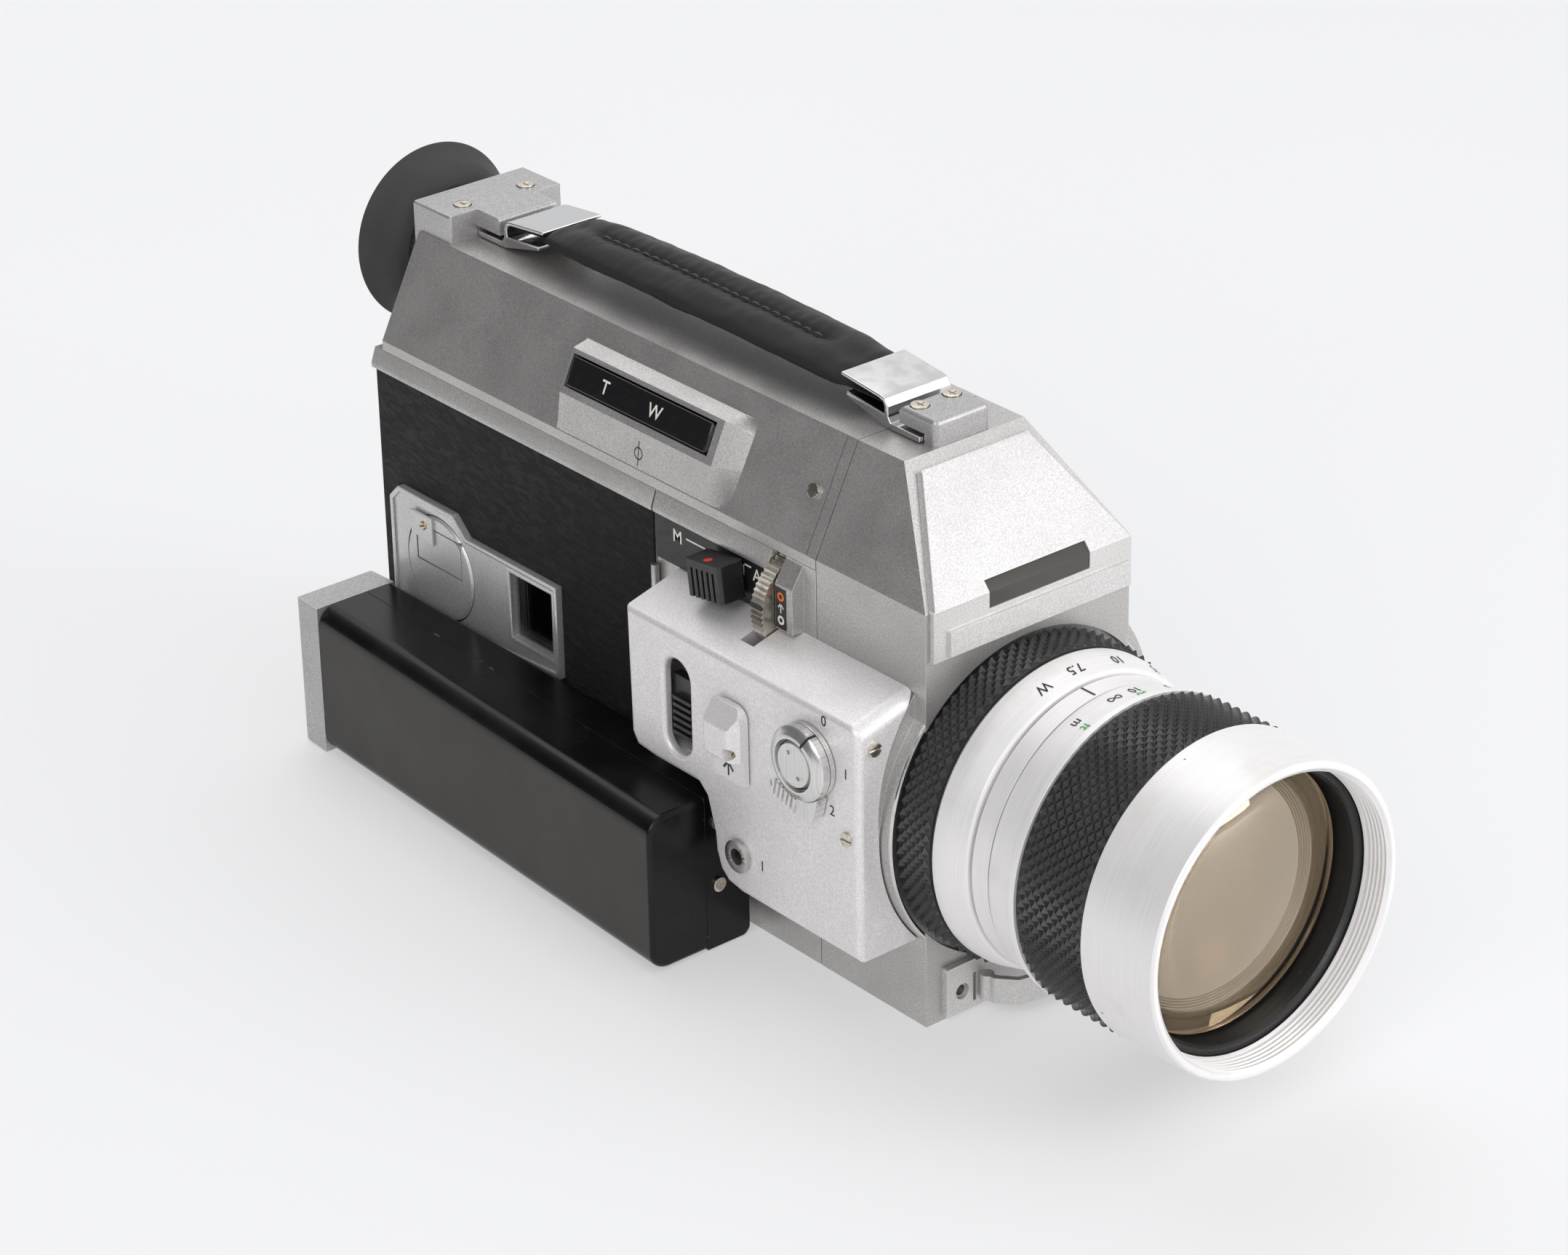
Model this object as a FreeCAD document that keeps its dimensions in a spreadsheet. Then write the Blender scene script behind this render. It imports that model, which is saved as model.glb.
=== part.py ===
import FreeCAD, Part
import functools
import math
import os

import Sketcher

# Cine camera with a zoom lens and a folding battery grip, built as separate pieces.
# Frame: origin at the mouth of the tripod socket in the base, +X towards the subject,
# +Y to the camera's left, +Z up. Millimetres.

Vector = FreeCAD.Vector
Rotation = FreeCAD.Rotation
Placement = FreeCAD.Placement

# Driving dimensions. Each name is the alias of one cell of the sheet.
DIMENSIONS = {
    # Main body
    "rear_x": -113.0, "front_x": 70.0, "half_width": 27.2, "wall": 2.0, "seam_gap": 0.2,
    "seam_z": 90.6, "shoulder_z": 92.9, "top_z": 115.6, "top_half": 15.8,
    "split_x": 37.4, "top_front_x": 50.9, "housing_rear_x": -110.0,
    "door_front_x": -13.8, "door_bottom_z": 8.0, "strip_z": 86.1, "strip_proud": 1.2,
    "chamber_front_x": -16.0, "partition_y": 6.0, "skin": 0.5,
    # Lens
    "lens_z": 44.7, "zoom_rear_x": 68.6, "zoom_mark_x": 78.4, "zoom_front_x": 87.3,
    "zoom_knurl_radius": 34.9, "zoom_ring_radius": 33.6, "zoom_edge_radius": 32.2,
    "barrel_radius": 30.0, "bore_gap": 0.1, "index_radius": 31.2, "index_front_x": 92.4,
    "scale_front_x": 101.9, "focus_front_x": 120.6, "lens_front_x": 139.9,
    "focus_radius": 33.2, "filter_radius": 31.0, "glass_radius": 28.4,
    "bearing_radius": 27.0, "barrel_bore": 24.0, "front_bore": 29.2, "moving_cell_radius": 23.0,
    "collar_radius": 36.6, "flare_radius": 36.8, "flare_z": 49.8,
    # Viewfinder
    "eye_z": 106.3, "finder_radius": 7.0, "cup_rear_x": -127.4, "cup_radius": 20.8,
    # Control panel on the right side
    "panel_y": 42.2, "panel_rear_x": -6.0, "panel_front_x": 67.1, "panel_top_z": 75.6,
    "panel_edge_z": 71.6, "panel_step_z": 39.8, "panel_step_x": 21.0, "panel_low_z": 19.5,
    "dial_x": 52.5, "dial_z": 60.0, "dial_radius": 8.0, "jack_x": 30.0, "jack_z": 28.6,
    "window_x": 5.6, "window_z": 43.0, "window_width": 9.8, "window_height": 23.2,
    "button_x": 24.4, "button_z": 46.2, "button_width": 9.4, "button_height": 17.4,
    "knob_x": 12.2, "knob_z": 81.4, "wheel_x": 24.2, "wheel_width": 3.6,
    "wheel_y": 22.4, "wheel_z": 78.8, "wheel_radius": 11.2,
    # Battery grip, folded along the right side
    "grip_front_x": 18.0, "grip_rear_x": -106.0, "cap_rear_x": -116.0,
    "grip_low_z": 0.5, "grip_top_z": 36.4, "grip_outer_y": 56.4, "grip_tail_y": 51.4,
    "grip_inner_y": 30.4, "grip_seam_y": 41.8, "grip_seam_tail_y": 38.2,
    "hinge_x": 8.0, "hinge_z": 12.0, "hinge_radius": 3.0,
    "cell_radius": 7.25, "cell_length": 50.5,
    # Film door fittings
    "latch_x": -90.0, "latch_z": 45.0, "latch_radius": 12.1,
    "film_window_x": -64.0, "film_window_z": 38.0, "film_window_width": 15.2,
    "film_window_height": 16.0,
    # Zoom rocker on the right slope
    "rocker_x": -22.4, "rocker_length": 46.6, "rocker_height": 6.5, "rocker_y": 26.1,
    "rocker_z": 101.2, "block_rear_x": -46.8, "block_front_x": 3.4, "block_flare": 6.2,
    "block_step": 0.8,
    # Base
    "socket_radius": 3.2, "socket_depth": 6.0,
}

RECESS_TILT = 65.3
SLOPE_TILT = 63.3
TRIGGER_Z = 2.9
RELEASE_Y, RELEASE_Z = -18.7, 5.8
SPINDLE_X, SPINDLE_Z = -68.0, 46.0
REAR_SCREW_X, REAR_SCREW_Y = -103.3, 8.6
FRONT_SCREW_X, FRONT_SCREW_Y = 42.4, 4.2
REAR_BRACKET_TOP, FRONT_BRACKET_TOP = 121.9, 121.2

doc = FreeCAD.newDocument("CineCamera")
sheet = doc.addObject("Spreadsheet::Sheet", "Dims")


class Size:
    """A number that remembers the sheet formula it comes from."""

    def __init__(self, value, formula):
        self.value = float(value)
        self.formula = formula

    def __add__(self, other):
        other = sized(other)
        return Size(self.value + other.value, f"({self.formula} + {other.formula})")

    def __sub__(self, other):
        other = sized(other)
        return Size(self.value - other.value, f"({self.formula} - {other.formula})")

    def __mul__(self, other):
        other = sized(other)
        return Size(self.value * other.value, f"({self.formula} * {other.formula})")

    def __neg__(self):
        return Size(-self.value, f"(0 - {self.formula})")

    def __radd__(self, other):
        return sized(other) + self

    def __rsub__(self, other):
        return sized(other) - self

    def __rmul__(self, other):
        return sized(other) * self


def sized(number):
    if isinstance(number, Size):
        return number
    return Size(number, f"({float(number)})")


class Dimensions:
    """Every driving dimension by name, as a Size bound to its cell."""


def fill_sheet():
    dims = Dimensions()
    for row, (alias, number) in enumerate(DIMENSIONS.items(), start=1):
        sheet.set(f"A{row}", alias)
        sheet.set(f"B{row}", str(number))
        sheet.setAlias(f"B{row}", alias)
        setattr(dims, alias, Size(number, f"Dims.{alias}"))
    return dims


D = fill_sheet()
doc.recompute()


# ---------------------------------------------------------------- helpers

def bind(thing, path, number):
    thing.setExpression(path, sized(number).formula)


def place(thing, at, rotation=None):
    """Binds the object's position; the rotation is fixed."""
    thing.Placement = Placement(Vector(0, 0, 0), rotation or Rotation())
    for axis, number in zip("xyz", at):
        bind(thing, f"Placement.Base.{axis}", number)
    return thing


def box(label, low, high):
    """An upright block between two corners."""
    thing = doc.addObject("Part::Box", label)
    for name, start, end in zip(("Length", "Width", "Height"), low, high):
        bind(thing, name, sized(end) - start)
    return place(thing, low)


TURNS = {
    "z": Rotation(),
    "x": Rotation(Vector(0, 1, 0), 90),
    "right": Rotation(Vector(1, 0, 0), 90),
}


def cylinder(label, radius, length, at, axis="z"):
    """A cylinder from its base centre, along +Z, +X, or -Y for "right"."""
    thing = doc.addObject("Part::Cylinder", label)
    bind(thing, "Radius", radius)
    bind(thing, "Height", length)
    return place(thing, at, TURNS[axis])


def cut(label, base, *tools):
    """The base less each tool."""
    tool = tools[0] if len(tools) == 1 else fuse(label + "_tools", *tools)
    thing = doc.addObject("Part::Cut", label)
    thing.Base = base
    thing.Tool = tool
    return thing


def fuse(label, *shapes):
    thing = doc.addObject("Part::MultiFuse", label)
    thing.Shapes = list(shapes)
    return thing


def common(label, base, tool):
    thing = doc.addObject("Part::Common", label)
    thing.Base = base
    thing.Tool = tool
    return thing


def group(label, *shapes):
    """Separate solids kept side by side in one sub-part."""
    thing = doc.addObject("Part::Compound", label)
    thing.Links = list(shapes)
    return thing


def rounded(label, base, radius, wanted):
    """The base with the edges that wanted(edge) accepts rounded."""
    doc.recompute()
    number = sized(radius).value
    edges = [
        (index, number, number)
        for index, edge in enumerate(base.Shape.Edges, start=1)
        if wanted(edge)
    ]
    thing = doc.addObject("Part::Fillet", label)
    thing.Base = base
    thing.Edges = edges
    return thing


def along(direction, condition=lambda point: True):
    """Accepts straight edges along a direction whose middle meets the condition."""
    def wanted(edge):
        if edge.Curve.TypeId != "Part::GeomLine":
            return False
        if abs(abs(edge.Curve.Direction.dot(direction)) - 1) > 1e-4:
            return False
        return condition(edge.CenterOfMass)
    return wanted


X, Y, Z = Vector(1, 0, 0), Vector(0, 1, 0), Vector(0, 0, 1)


def origin_plane(body, role):
    return next(item for item in body.Origin.OriginFeatures if item.Role == role)


def sketch_on(body, plane, start):
    sketch = body.newObject("Sketcher::SketchObject", body.Name + "Sketch")
    sketch.AttachmentSupport = (origin_plane(body, plane + "_Plane"), "")
    sketch.MapMode = "FlatFace"
    bind(sketch, "AttachmentOffset.Base.z", start)
    return sketch


def pin_point(sketch, item, end, point):
    """Ties one end of a sketch item to the sheet, measured from the origin."""
    for kind, number in zip(("DistanceX", "DistanceY"), point):
        number = sized(number)
        row = sketch.addConstraint(Sketcher.Constraint(kind, -1, 1, item, end, number.value))
        sketch.setExpression(f"Constraints[{row}]", number.formula)


def flat(point):
    return Vector(sized(point[0]).value, sized(point[1]).value, 0)


def add_outline(sketch, points):
    """A closed outline of straight lines, each corner tied to the sheet."""
    first = sketch.GeometryCount
    count = len(points)
    for step in range(count):
        line = Part.LineSegment(flat(points[step]), flat(points[(step + 1) % count]))
        sketch.addGeometry(line, False)
    for step in range(count):
        following = first + (step + 1) % count
        sketch.addConstraint(Sketcher.Constraint("Coincident", first + step, 2, following, 1))
        pin_point(sketch, first + step, 1, points[step])


def add_circle(sketch, centre, radius):
    radius = sized(radius)
    item = sketch.addGeometry(Part.Circle(flat(centre), Z, radius.value), False)
    pin_point(sketch, item, 3, centre)
    row = sketch.addConstraint(Sketcher.Constraint("Radius", item, radius.value))
    sketch.setExpression(f"Constraints[{row}]", radius.formula)


def new_body(label):
    body = doc.addObject("PartDesign::Body", label)
    body.Label = label
    return body


def pad(body, plane, points, start, length):
    """Adds an outline drawn on a plane, from start, along the plane's normal."""
    sketch = sketch_on(body, plane, start)
    add_outline(sketch, points)
    feature = body.newObject("PartDesign::Pad", body.Name + "Pad")
    feature.Profile = sketch
    bind(feature, "Length", length)
    return body


def pocket(body, plane, points, start, length):
    """Cuts an outline from start, along the plane's normal."""
    sketch = sketch_on(body, plane, start)
    add_outline(sketch, points)
    return cut_profile(body, sketch, length)


def bore(body, plane, centre, radius, start, length):
    """Cuts a round hole from start, along the plane's normal."""
    sketch = sketch_on(body, plane, start)
    add_circle(sketch, centre, radius)
    return cut_profile(body, sketch, length)


def cut_profile(body, sketch, length):
    doc.recompute()
    before = body.Shape.Volume
    feature = body.newObject("PartDesign::Pocket", body.Name + "Pocket")
    feature.Profile = sketch
    feature.Reversed = True
    bind(feature, "Length", length)
    doc.recompute()
    if body.Shape.Volume >= before - 1e-3:
        raise RuntimeError(f"{feature.Name} cuts nothing")
    return body


def rectangle(low, high):
    return [(low[0], low[1]), (high[0], low[1]), (high[0], high[1]), (low[0], high[1])]


def plate(label, plane, points, start, length):
    """A body made of one outline and one thickness."""
    return pad(new_body(label), plane, points, start, length)


def turned(label, profile, at=(0, 0, 0), rotation=None):
    """A body turned about its own X axis from (x, radius) points."""
    body = new_body(label)
    sketch = sketch_on(body, "XZ", 0)
    add_outline(sketch, profile)
    feature = body.newObject("PartDesign::Revolution", body.Name + "Turn")
    feature.Profile = sketch
    feature.ReferenceAxis = (sketch, ["H_Axis"])
    feature.Angle = 360
    return place(body, at, rotation)


ON_LENS_AXIS = (0, 0, D.lens_z)
FACING_RIGHT = Rotation(Z, -90)


# ---------------------------------------------------------------- body shells

@functools.lru_cache(maxsize=None)
def whole_casting():
    """Tray with the film chamber on the right and the works on the left."""
    inner_y = D.half_width - D.wall
    body = plate("whole_casting_block", "XZ",
                 rectangle((D.rear_x, 0), (D.split_x - D.seam_gap, D.seam_z)),
                 -inner_y, inner_y + D.half_width)
    door_edge = rectangle((D.rear_x - 1, D.door_bottom_z - D.seam_gap),
                          (D.door_front_x + D.seam_gap, D.seam_z + 1))
    pocket(body, "XZ", door_edge, inner_y, D.wall + 1)
    chamber = rectangle((D.rear_x + 3, D.door_bottom_z), (D.chamber_front_x, D.strip_z))
    pocket(body, "XZ", chamber, -D.partition_y, D.partition_y + D.half_width)
    works = rectangle((D.rear_x + 3, 3), (D.chamber_front_x, D.seam_z - 3))
    pocket(body, "XZ", works, -inner_y - 1, inner_y + 1 - D.partition_y - D.wall)
    front_room = rectangle((D.chamber_front_x + 4, 3), (D.split_x - 2.4, D.seam_z - 3))
    pocket(body, "XZ", front_room, -inner_y - 1, 2 * inner_y + 0.3)
    bore(body, "YZ", (0, D.lens_z), 5, D.chamber_front_x - 1, 6)
    bore(body, "YZ", (0, D.lens_z), 20, D.split_x - 3, 4)
    bore(body, "XY", (0, 0), 7, -1, 6)
    strip = pad(body, "YZ", strip_outline(), D.door_front_x + 0.5,
                D.wheel_x - 0.3 - D.door_front_x - 0.5)
    wheel_room = box("wheel_room", (D.wheel_x - 0.3, -D.panel_y, 66),
                     (D.wheel_x + D.wheel_width + 0.3, -10, D.seam_z + 1))
    block = plate("wheel_block", "YZ",
                  [(-26.0, D.panel_top_z), (-30.2, D.panel_top_z), (-30.2, 85.6), (-27.3, D.seam_z - 0.5),
                   (-26.0, D.seam_z - 0.5)], D.wheel_x + D.wheel_width + 0.3, 5.3)
    spindle_hole = cylinder("spindle_hole", 3.1, 10, (SPINDLE_X, D.partition_y + 5, SPINDLE_Z), "right")
    knob_hole = cylinder("knob_hole", 2.1, 5, (D.knob_x, -D.half_width + 4, D.knob_z), "right")
    return cut("whole_casting", fuse("whole_casting_joined", strip, block), wheel_room, spindle_hole,
               knob_hole)


def body_casting():
    """Front half of the casting, over the tripod socket and round the works."""
    return common("body_casting", whole_casting(),
                  box("front_half", (D.chamber_front_x, -D.panel_y, -1),
                      (D.split_x, D.panel_y, D.seam_z + 1)))


def chamber_casting():
    """Rear half of the casting: the film chamber and its partition."""
    return common("chamber_casting", whole_casting(),
                  box("rear_half", (D.rear_x - 1, -D.panel_y, -1),
                      (D.chamber_front_x, D.panel_y, D.seam_z + 1)))


def strip_outline():
    """Section of the ledge under the upper housing, leaning out as it comes down."""
    side = -D.half_width
    return [(side + 0.5, D.seam_z), (side, D.seam_z), (side - D.strip_proud, D.seam_z - 3.4),
            (side - D.strip_proud, D.strip_z), (side + 0.5, D.strip_z)]


def left_cover():
    body = plate("left_cover_plate", "XZ",
                 rectangle((D.rear_x, 0), (D.split_x - D.seam_gap, D.seam_z)),
                 -D.half_width, D.wall)
    return rounded("left_cover", body, 1.2,
                   lambda edge: edge.CenterOfMass.y > D.half_width.value - 0.01)


def left_leatherette():
    return plate("left_leatherette", "XZ",
                 rectangle((D.rear_x + 6, D.door_bottom_z), (D.split_x - 6, D.strip_z)),
                 -D.half_width - D.skin, D.skin)


def tripod_socket():
    body = cylinder("tripod_bush", 6.9, D.socket_depth + 1, (0, 0, 0.05))
    return cut("tripod_socket", body,
               cylinder("tripod_thread", D.socket_radius, D.socket_depth, (0, 0, 0)))


def housing_section(inset, low):
    """Section of the roof: upright shoulders, then slopes up to a flat top."""
    side, top = D.half_width - inset, D.top_half - inset * 0.7
    high = D.top_z - inset
    shoulder = D.shoulder_z - inset * 0.3
    return [(-side, low), (side, low), (side, shoulder), (top, high), (-top, high),
            (-side, shoulder)]


def rocker_block(x, swell):
    """Section of the raised block round the zoom rocker; swell 0 lies on the slope."""
    slope = [(-18.1, 111.0), (-19.6, 108.0), (-23.0, 101.2), (-27.0, 93.2), (-20.0, 93.2),
             (-14.0, 106.0)]
    proud = [(-18.1, 111.0), (-22.0, 110.1), (-D.rocker_y, D.rocker_z), (-27.1, 93.0),
             (-20.0, 93.0), (-14.0, 106.0)]
    return proud if swell else slope


def top_housing():
    body = plate("top_housing_shell", "YZ", housing_section(0, D.seam_z + 0.1),
                 D.housing_rear_x, D.split_x - D.seam_gap - D.housing_rear_x)
    sections = []
    for x, swell in ((D.block_rear_x - D.block_step, 0), (D.block_rear_x, 1),
                     (D.block_front_x, 1), (D.block_front_x + D.block_flare, 0)):
        sketch = sketch_on(body, "YZ", x)
        add_outline(sketch, rocker_block(x, swell))
        sections.append(sketch)
    loft = body.newObject("PartDesign::AdditiveLoft", "rocker_block")
    loft.Profile = sections[0]
    loft.Sections = sections[1:]
    loft.Ruled = True
    pocket(body, "YZ", housing_section(D.wall, D.seam_z - 1),
           D.housing_rear_x + D.wall, D.split_x - D.housing_rear_x)
    bore(body, "YZ", (0, D.eye_z), D.finder_radius + D.bore_gap, D.housing_rear_x - 1, 4)
    slot = place(rocker_prism("rocker_slot", 0.4, 9), rocker_corner(0.4, -6), Rotation(X, RECESS_TILT))
    return cut("top_housing", body, slot)


def rocker_prism(label, gap, thickness):
    thing = doc.addObject("Part::Box", label)
    bind(thing, "Length", D.rocker_length + 2 * gap)
    bind(thing, "Width", D.rocker_height + 2 * gap)
    bind(thing, "Height", thickness)
    return thing


def rocker_corner(gap, depth):
    """Low rear corner of a prism set into the tilted recess, depth along its normal."""
    up_y, up_z = math.cos(math.radians(RECESS_TILT)), math.sin(math.radians(RECESS_TILT))
    climb = 1.9 - gap
    return (D.rocker_x - D.rocker_length * 0.5 - gap,
            -D.rocker_y + climb * up_y - depth * up_z,
            D.rocker_z + climb * up_z + depth * up_y)


def front_housing():
    """Front casting with the slanted brow and the round collar of the lens."""
    side = D.half_width
    body = plate("front_housing_block", "XZ",
                 [(D.split_x, 0), (D.front_x, 0), (D.front_x, D.shoulder_z),
                  (D.top_front_x, D.top_z), (D.split_x, D.top_z)], -side, 2 * side)
    room = [(D.split_x - 1, 3), (D.front_x - 3, 3), (D.front_x - 3, D.shoulder_z - 2),
            (D.top_front_x - 2.5, D.top_z - D.wall - 0.5), (D.split_x - 1, D.top_z - D.wall - 0.5)]
    pocket(body, "XZ", room, -D.top_half + 3, 2 * D.top_half - 6)
    lower_room = rectangle((D.split_x - 1, 3), (D.front_x - 3, D.shoulder_z - 4))
    pocket(body, "XZ", lower_room, -side + 2.5, 2 * side - 5)
    for hand in (-1, 1):
        slope = [(hand * (side + 1), D.shoulder_z), (hand * side, D.shoulder_z),
                 (hand * D.top_half, D.top_z), (hand * D.top_half, D.top_z + 1),
                 (hand * (side + 1), D.top_z + 1)]
        pocket(body, "YZ", slope, D.split_x - 1, D.front_x - D.split_x + 2)
    collar = cylinder("lens_collar_drum", D.collar_radius, 10, (D.front_x - 10.5, 0, D.lens_z), "x")
    flare = cylinder("lens_flare_drum", D.flare_radius, 6, (D.front_x - 9.2, 0, D.flare_z), "x")
    tube = cylinder("lens_seat", D.barrel_radius, 20, (D.front_x - 16, 0, D.lens_z), "x")
    well = cylinder("lens_well", 35.4, 9, (D.zoom_rear_x - 0.8, 0, D.lens_z), "x")
    release = cylinder("release_room", 1.8, 6, (D.front_x - 4, RELEASE_Y, RELEASE_Z), "x")
    return cut("front_housing", fuse("front_housing_joined", body, collar, flare), tube, well, release)


def front_plate():
    """Raised brow plate that bends from the slant to the upright face, name strip blank."""
    proud = 1.4
    low_z = 82.5
    profile = [(D.top_front_x + 2.0, D.top_z - 2.3), (D.front_x, D.shoulder_z), (D.front_x, low_z),
               (D.front_x + proud, low_z), (D.front_x + proud, D.shoulder_z + 0.6),
               (D.top_front_x + 3.1, D.top_z - 1.4)]
    body = plate("front_plate_blank", "XZ", profile, -26.2, 52.4)
    for hand in (-1, 1):
        flank = [(hand * 28, 93.4), (hand * 26.0, 93.4), (hand * 14.2, 113.6), (hand * 14.2, 118),
                 (hand * 28, 118)]
        pocket(body, "YZ", flank, D.top_front_x, 25)
    pocket(body, "YZ", rectangle((-11.8, 89.9), (14.9, 95.4)), D.front_x - 5, 10)
    strip = box("name_strip", (D.front_x + proud - 0.2, -22.6, 83.2),
                (D.front_x + proud + 0.9, 25.3, 88.6))
    return fuse("front_plate", body, strip)


def meter_window():
    """Dark glass bar over the meter cell, bent like the plate round it."""
    return plate("meter_window", "XZ",
                 [(D.front_x + 0.2, 90.0), (D.front_x + 1.1, 90.0), (D.front_x + 1.1, 93.3),
                  (D.front_x - 0.7, 95.3), (D.front_x - 1.8, 95.3), (D.front_x + 0.2, 92.9)],
                 -14.8, 26.5)


def label_band():
    """Printed band under the strip, beside the exposure switch."""
    low, high = (D.door_front_x + 0.5, D.panel_top_z + 0.1), (D.wheel_x - 0.4, D.strip_z - 0.05)
    body = plate("label_band_plate", "XZ", rectangle(low, high), D.half_width, 0.6)
    return bore(body, "XZ", (D.knob_x, D.knob_z), 2.1, D.half_width - 1, 3)


# ---------------------------------------------------------------- film door

def film_door():
    body = plate("film_door_skin", "XZ",
                 rectangle((D.rear_x, D.door_bottom_z), (D.door_front_x, D.seam_z)),
                 D.half_width - D.wall + 0.1, D.wall - 0.1)
    pad(body, "YZ", strip_outline(), D.rear_x, D.door_front_x - D.rear_x)
    pocket(body, "XZ", film_window_outline(0), D.half_width - D.wall - 1, D.wall + 2)
    return bore(body, "XZ", (D.latch_x, D.latch_z), 3.1, D.half_width - 1.3, D.wall + 2)


def film_window_outline(gap):
    low = (D.film_window_x + gap, D.film_window_z + gap)
    high = (D.film_window_x + D.film_window_width - gap,
            D.film_window_z + D.film_window_height - gap)
    return rectangle(low, high)


def trim_outline(gap):
    """Plate round the latch and the film window, higher at the latch."""
    rear, front = D.rear_x + 5.0 - gap, D.film_window_x + D.film_window_width + 1.6 + gap
    low, high, step = 30.0 - gap, 60.2 + gap, 56.0 + gap
    return [(rear, low), (front, low + 4), (front, step), (D.latch_x + 10.5 + gap, step),
            (D.latch_x + 6.0 + gap, high), (rear + 3.4, high), (rear, high - 3.4)]


def door_leatherette():
    body = plate("door_leatherette", "XZ",
                 rectangle((D.rear_x + 0.6, D.door_bottom_z + 0.6),
                           (D.door_front_x - 0.3, D.strip_z - 0.05)), D.half_width, D.skin)
    return pocket(body, "XZ", trim_outline(0.1), D.half_width - 1, 3)


def door_trim():
    body = plate("door_trim_plate", "XZ", trim_outline(0), D.half_width, 1.5)
    bore(body, "XZ", (D.latch_x, D.latch_z), D.latch_radius + 0.4, D.half_width - 1, 4)
    pocket(body, "XZ", film_window_outline(0), D.half_width - 1, 4)
    return rounded("door_trim", body, 1.0,
                   along(Y, lambda point: point.x < D.rear_x.value + 9 or point.z > 59))


def film_window():
    return plate("film_window", "XZ", film_window_outline(0.05), D.half_width - 1.4, 0.9)


def door_hinge_pin():
    return cylinder("door_hinge_pin", 0.9, 62, (D.door_front_x + 0.5, -D.half_width - 1.0, 12))


def door_latch():
    """Turning disc with a sunk thumb flap and a stub shaft in the door."""
    out = D.half_width + 0.2
    disc = turned("latch_disc", [(out, 0), (out, D.latch_radius), (out + 1.2, D.latch_radius),
                                 (out + 1.7, D.latch_radius - 0.5), (out + 1.7, 0)],
                  (D.latch_x, 0, D.latch_z), FACING_RIGHT)
    shaft = cylinder("latch_shaft", 3.0, 2.0, (D.latch_x, -D.half_width + 1.2, D.latch_z), "right")
    seat = box("latch_flap_seat", (D.latch_x - 8.4, -D.half_width - 3, D.latch_z - 0.2),
               (D.latch_x + 8.4, -D.half_width - 0.7, D.latch_z + 9.0))
    return cut("door_latch", fuse("latch_joined", disc, shaft), seat)


def latch_flap():
    body = box("latch_flap_blank", (D.latch_x - 8.0, -D.half_width - 1.8, D.latch_z + 0.2),
               (D.latch_x + 8.0, -D.half_width - 0.85, D.latch_z + 8.6))
    return rounded("latch_flap", body, 3.0, along(Y, lambda point: point.z > D.latch_z.value + 5))


# ---------------------------------------------------------------- control panel

def panel_outline(inset):
    """Side view of the control panel, stepped round the folded grip."""
    rear, front = D.panel_rear_x + inset, D.panel_front_x - inset
    low, step, step_x = D.panel_low_z + inset, D.panel_step_z + inset, D.panel_step_x + inset
    return [(front, low), (front, D.panel_top_z), (rear, D.panel_top_z), (rear + 0.7, step + 3.4),
            (rear + 2.6, step + 0.6), (rear + 8.6, step), (step_x - 2.6, step), (step_x - 1.0, step - 1.4),
            (step_x - 0.2, step - 4), (step_x + 0.6, low + 7), (step_x + 2.0, low + 3),
            (step_x + 4.6, low + 0.8), (step_x + 9.0, low)]


def side_panel():
    inner = D.half_width + 0.05
    body = plate("side_panel_block", "XZ", panel_outline(0), inner, D.panel_y - inner)
    fall = [(-D.panel_y - 1, D.panel_edge_z - 0.27), (-D.panel_y - 1, D.panel_top_z + 1),
            (-D.half_width + 0.1, D.panel_top_z + 1), (-D.half_width + 0.1, D.panel_top_z)]
    pocket(body, "YZ", fall, D.panel_rear_x - 1, D.panel_front_x - D.panel_rear_x + 2)
    front = rounded("side_panel_front", body, 3.2, panel_front_top)
    edges = rounded("side_panel_rounded", front, 1.6, panel_rim)
    room = plate("side_panel_room", "XZ", panel_room(), inner - 1, D.panel_y - D.wall - inner + 1)
    openings = [room]
    openings.append(cylinder("panel_cut_collar", D.collar_radius + 0.3, 30, (55, 0, D.lens_z), "x"))
    openings.append(cylinder("panel_cut_flare", D.flare_radius + 0.3, 30, (55, 0, D.flare_z), "x"))
    openings.append(box("panel_cut_wheel", (D.wheel_x - 0.3, -36, 66),
                        (D.wheel_x + D.wheel_width + 0.3, -27, 80)))
    openings.append(window_cutter())
    openings.append(cylinder("panel_cut_dial", 3.1, 6, (D.dial_x, -D.panel_y + 3, D.dial_z), "right"))
    openings.append(cylinder("panel_cut_jack", 3.0, 6, (D.jack_x, -D.panel_y + 3, D.jack_z), "right"))
    openings.append(box("panel_cut_button", (D.button_x + 3, -D.panel_y - 1, D.button_z + 4),
                        (D.button_x + 8, -D.panel_y + 3, D.button_z + 16)))
    return rounded("side_panel", cut("side_panel_open", edges, *openings), 1.0, window_rim)


def panel_room():
    rear, front = D.panel_rear_x + D.wall, D.panel_front_x - 4
    low, step = D.panel_low_z + D.wall, D.panel_step_z + D.wall
    turn = D.panel_step_x + D.wall + 2
    return [(rear, step + 2), (turn, step + 2), (turn, low + 2), (turn + 4, low), (front, low),
            (front, D.panel_edge_z - D.wall), (rear, D.panel_edge_z - D.wall)]


def panel_rim(edge):
    """Outer rim of the panel: every edge that touches its outer face."""
    return edge.CenterOfMass.y < -D.panel_y.value + 0.01 and edge.Length > 3


def panel_front_top(edge):
    """Edge between the falling top and the front of the panel."""
    point = edge.CenterOfMass
    return point.x > D.panel_front_x.value - 0.01 and point.z > D.panel_edge_z.value + 1


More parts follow.
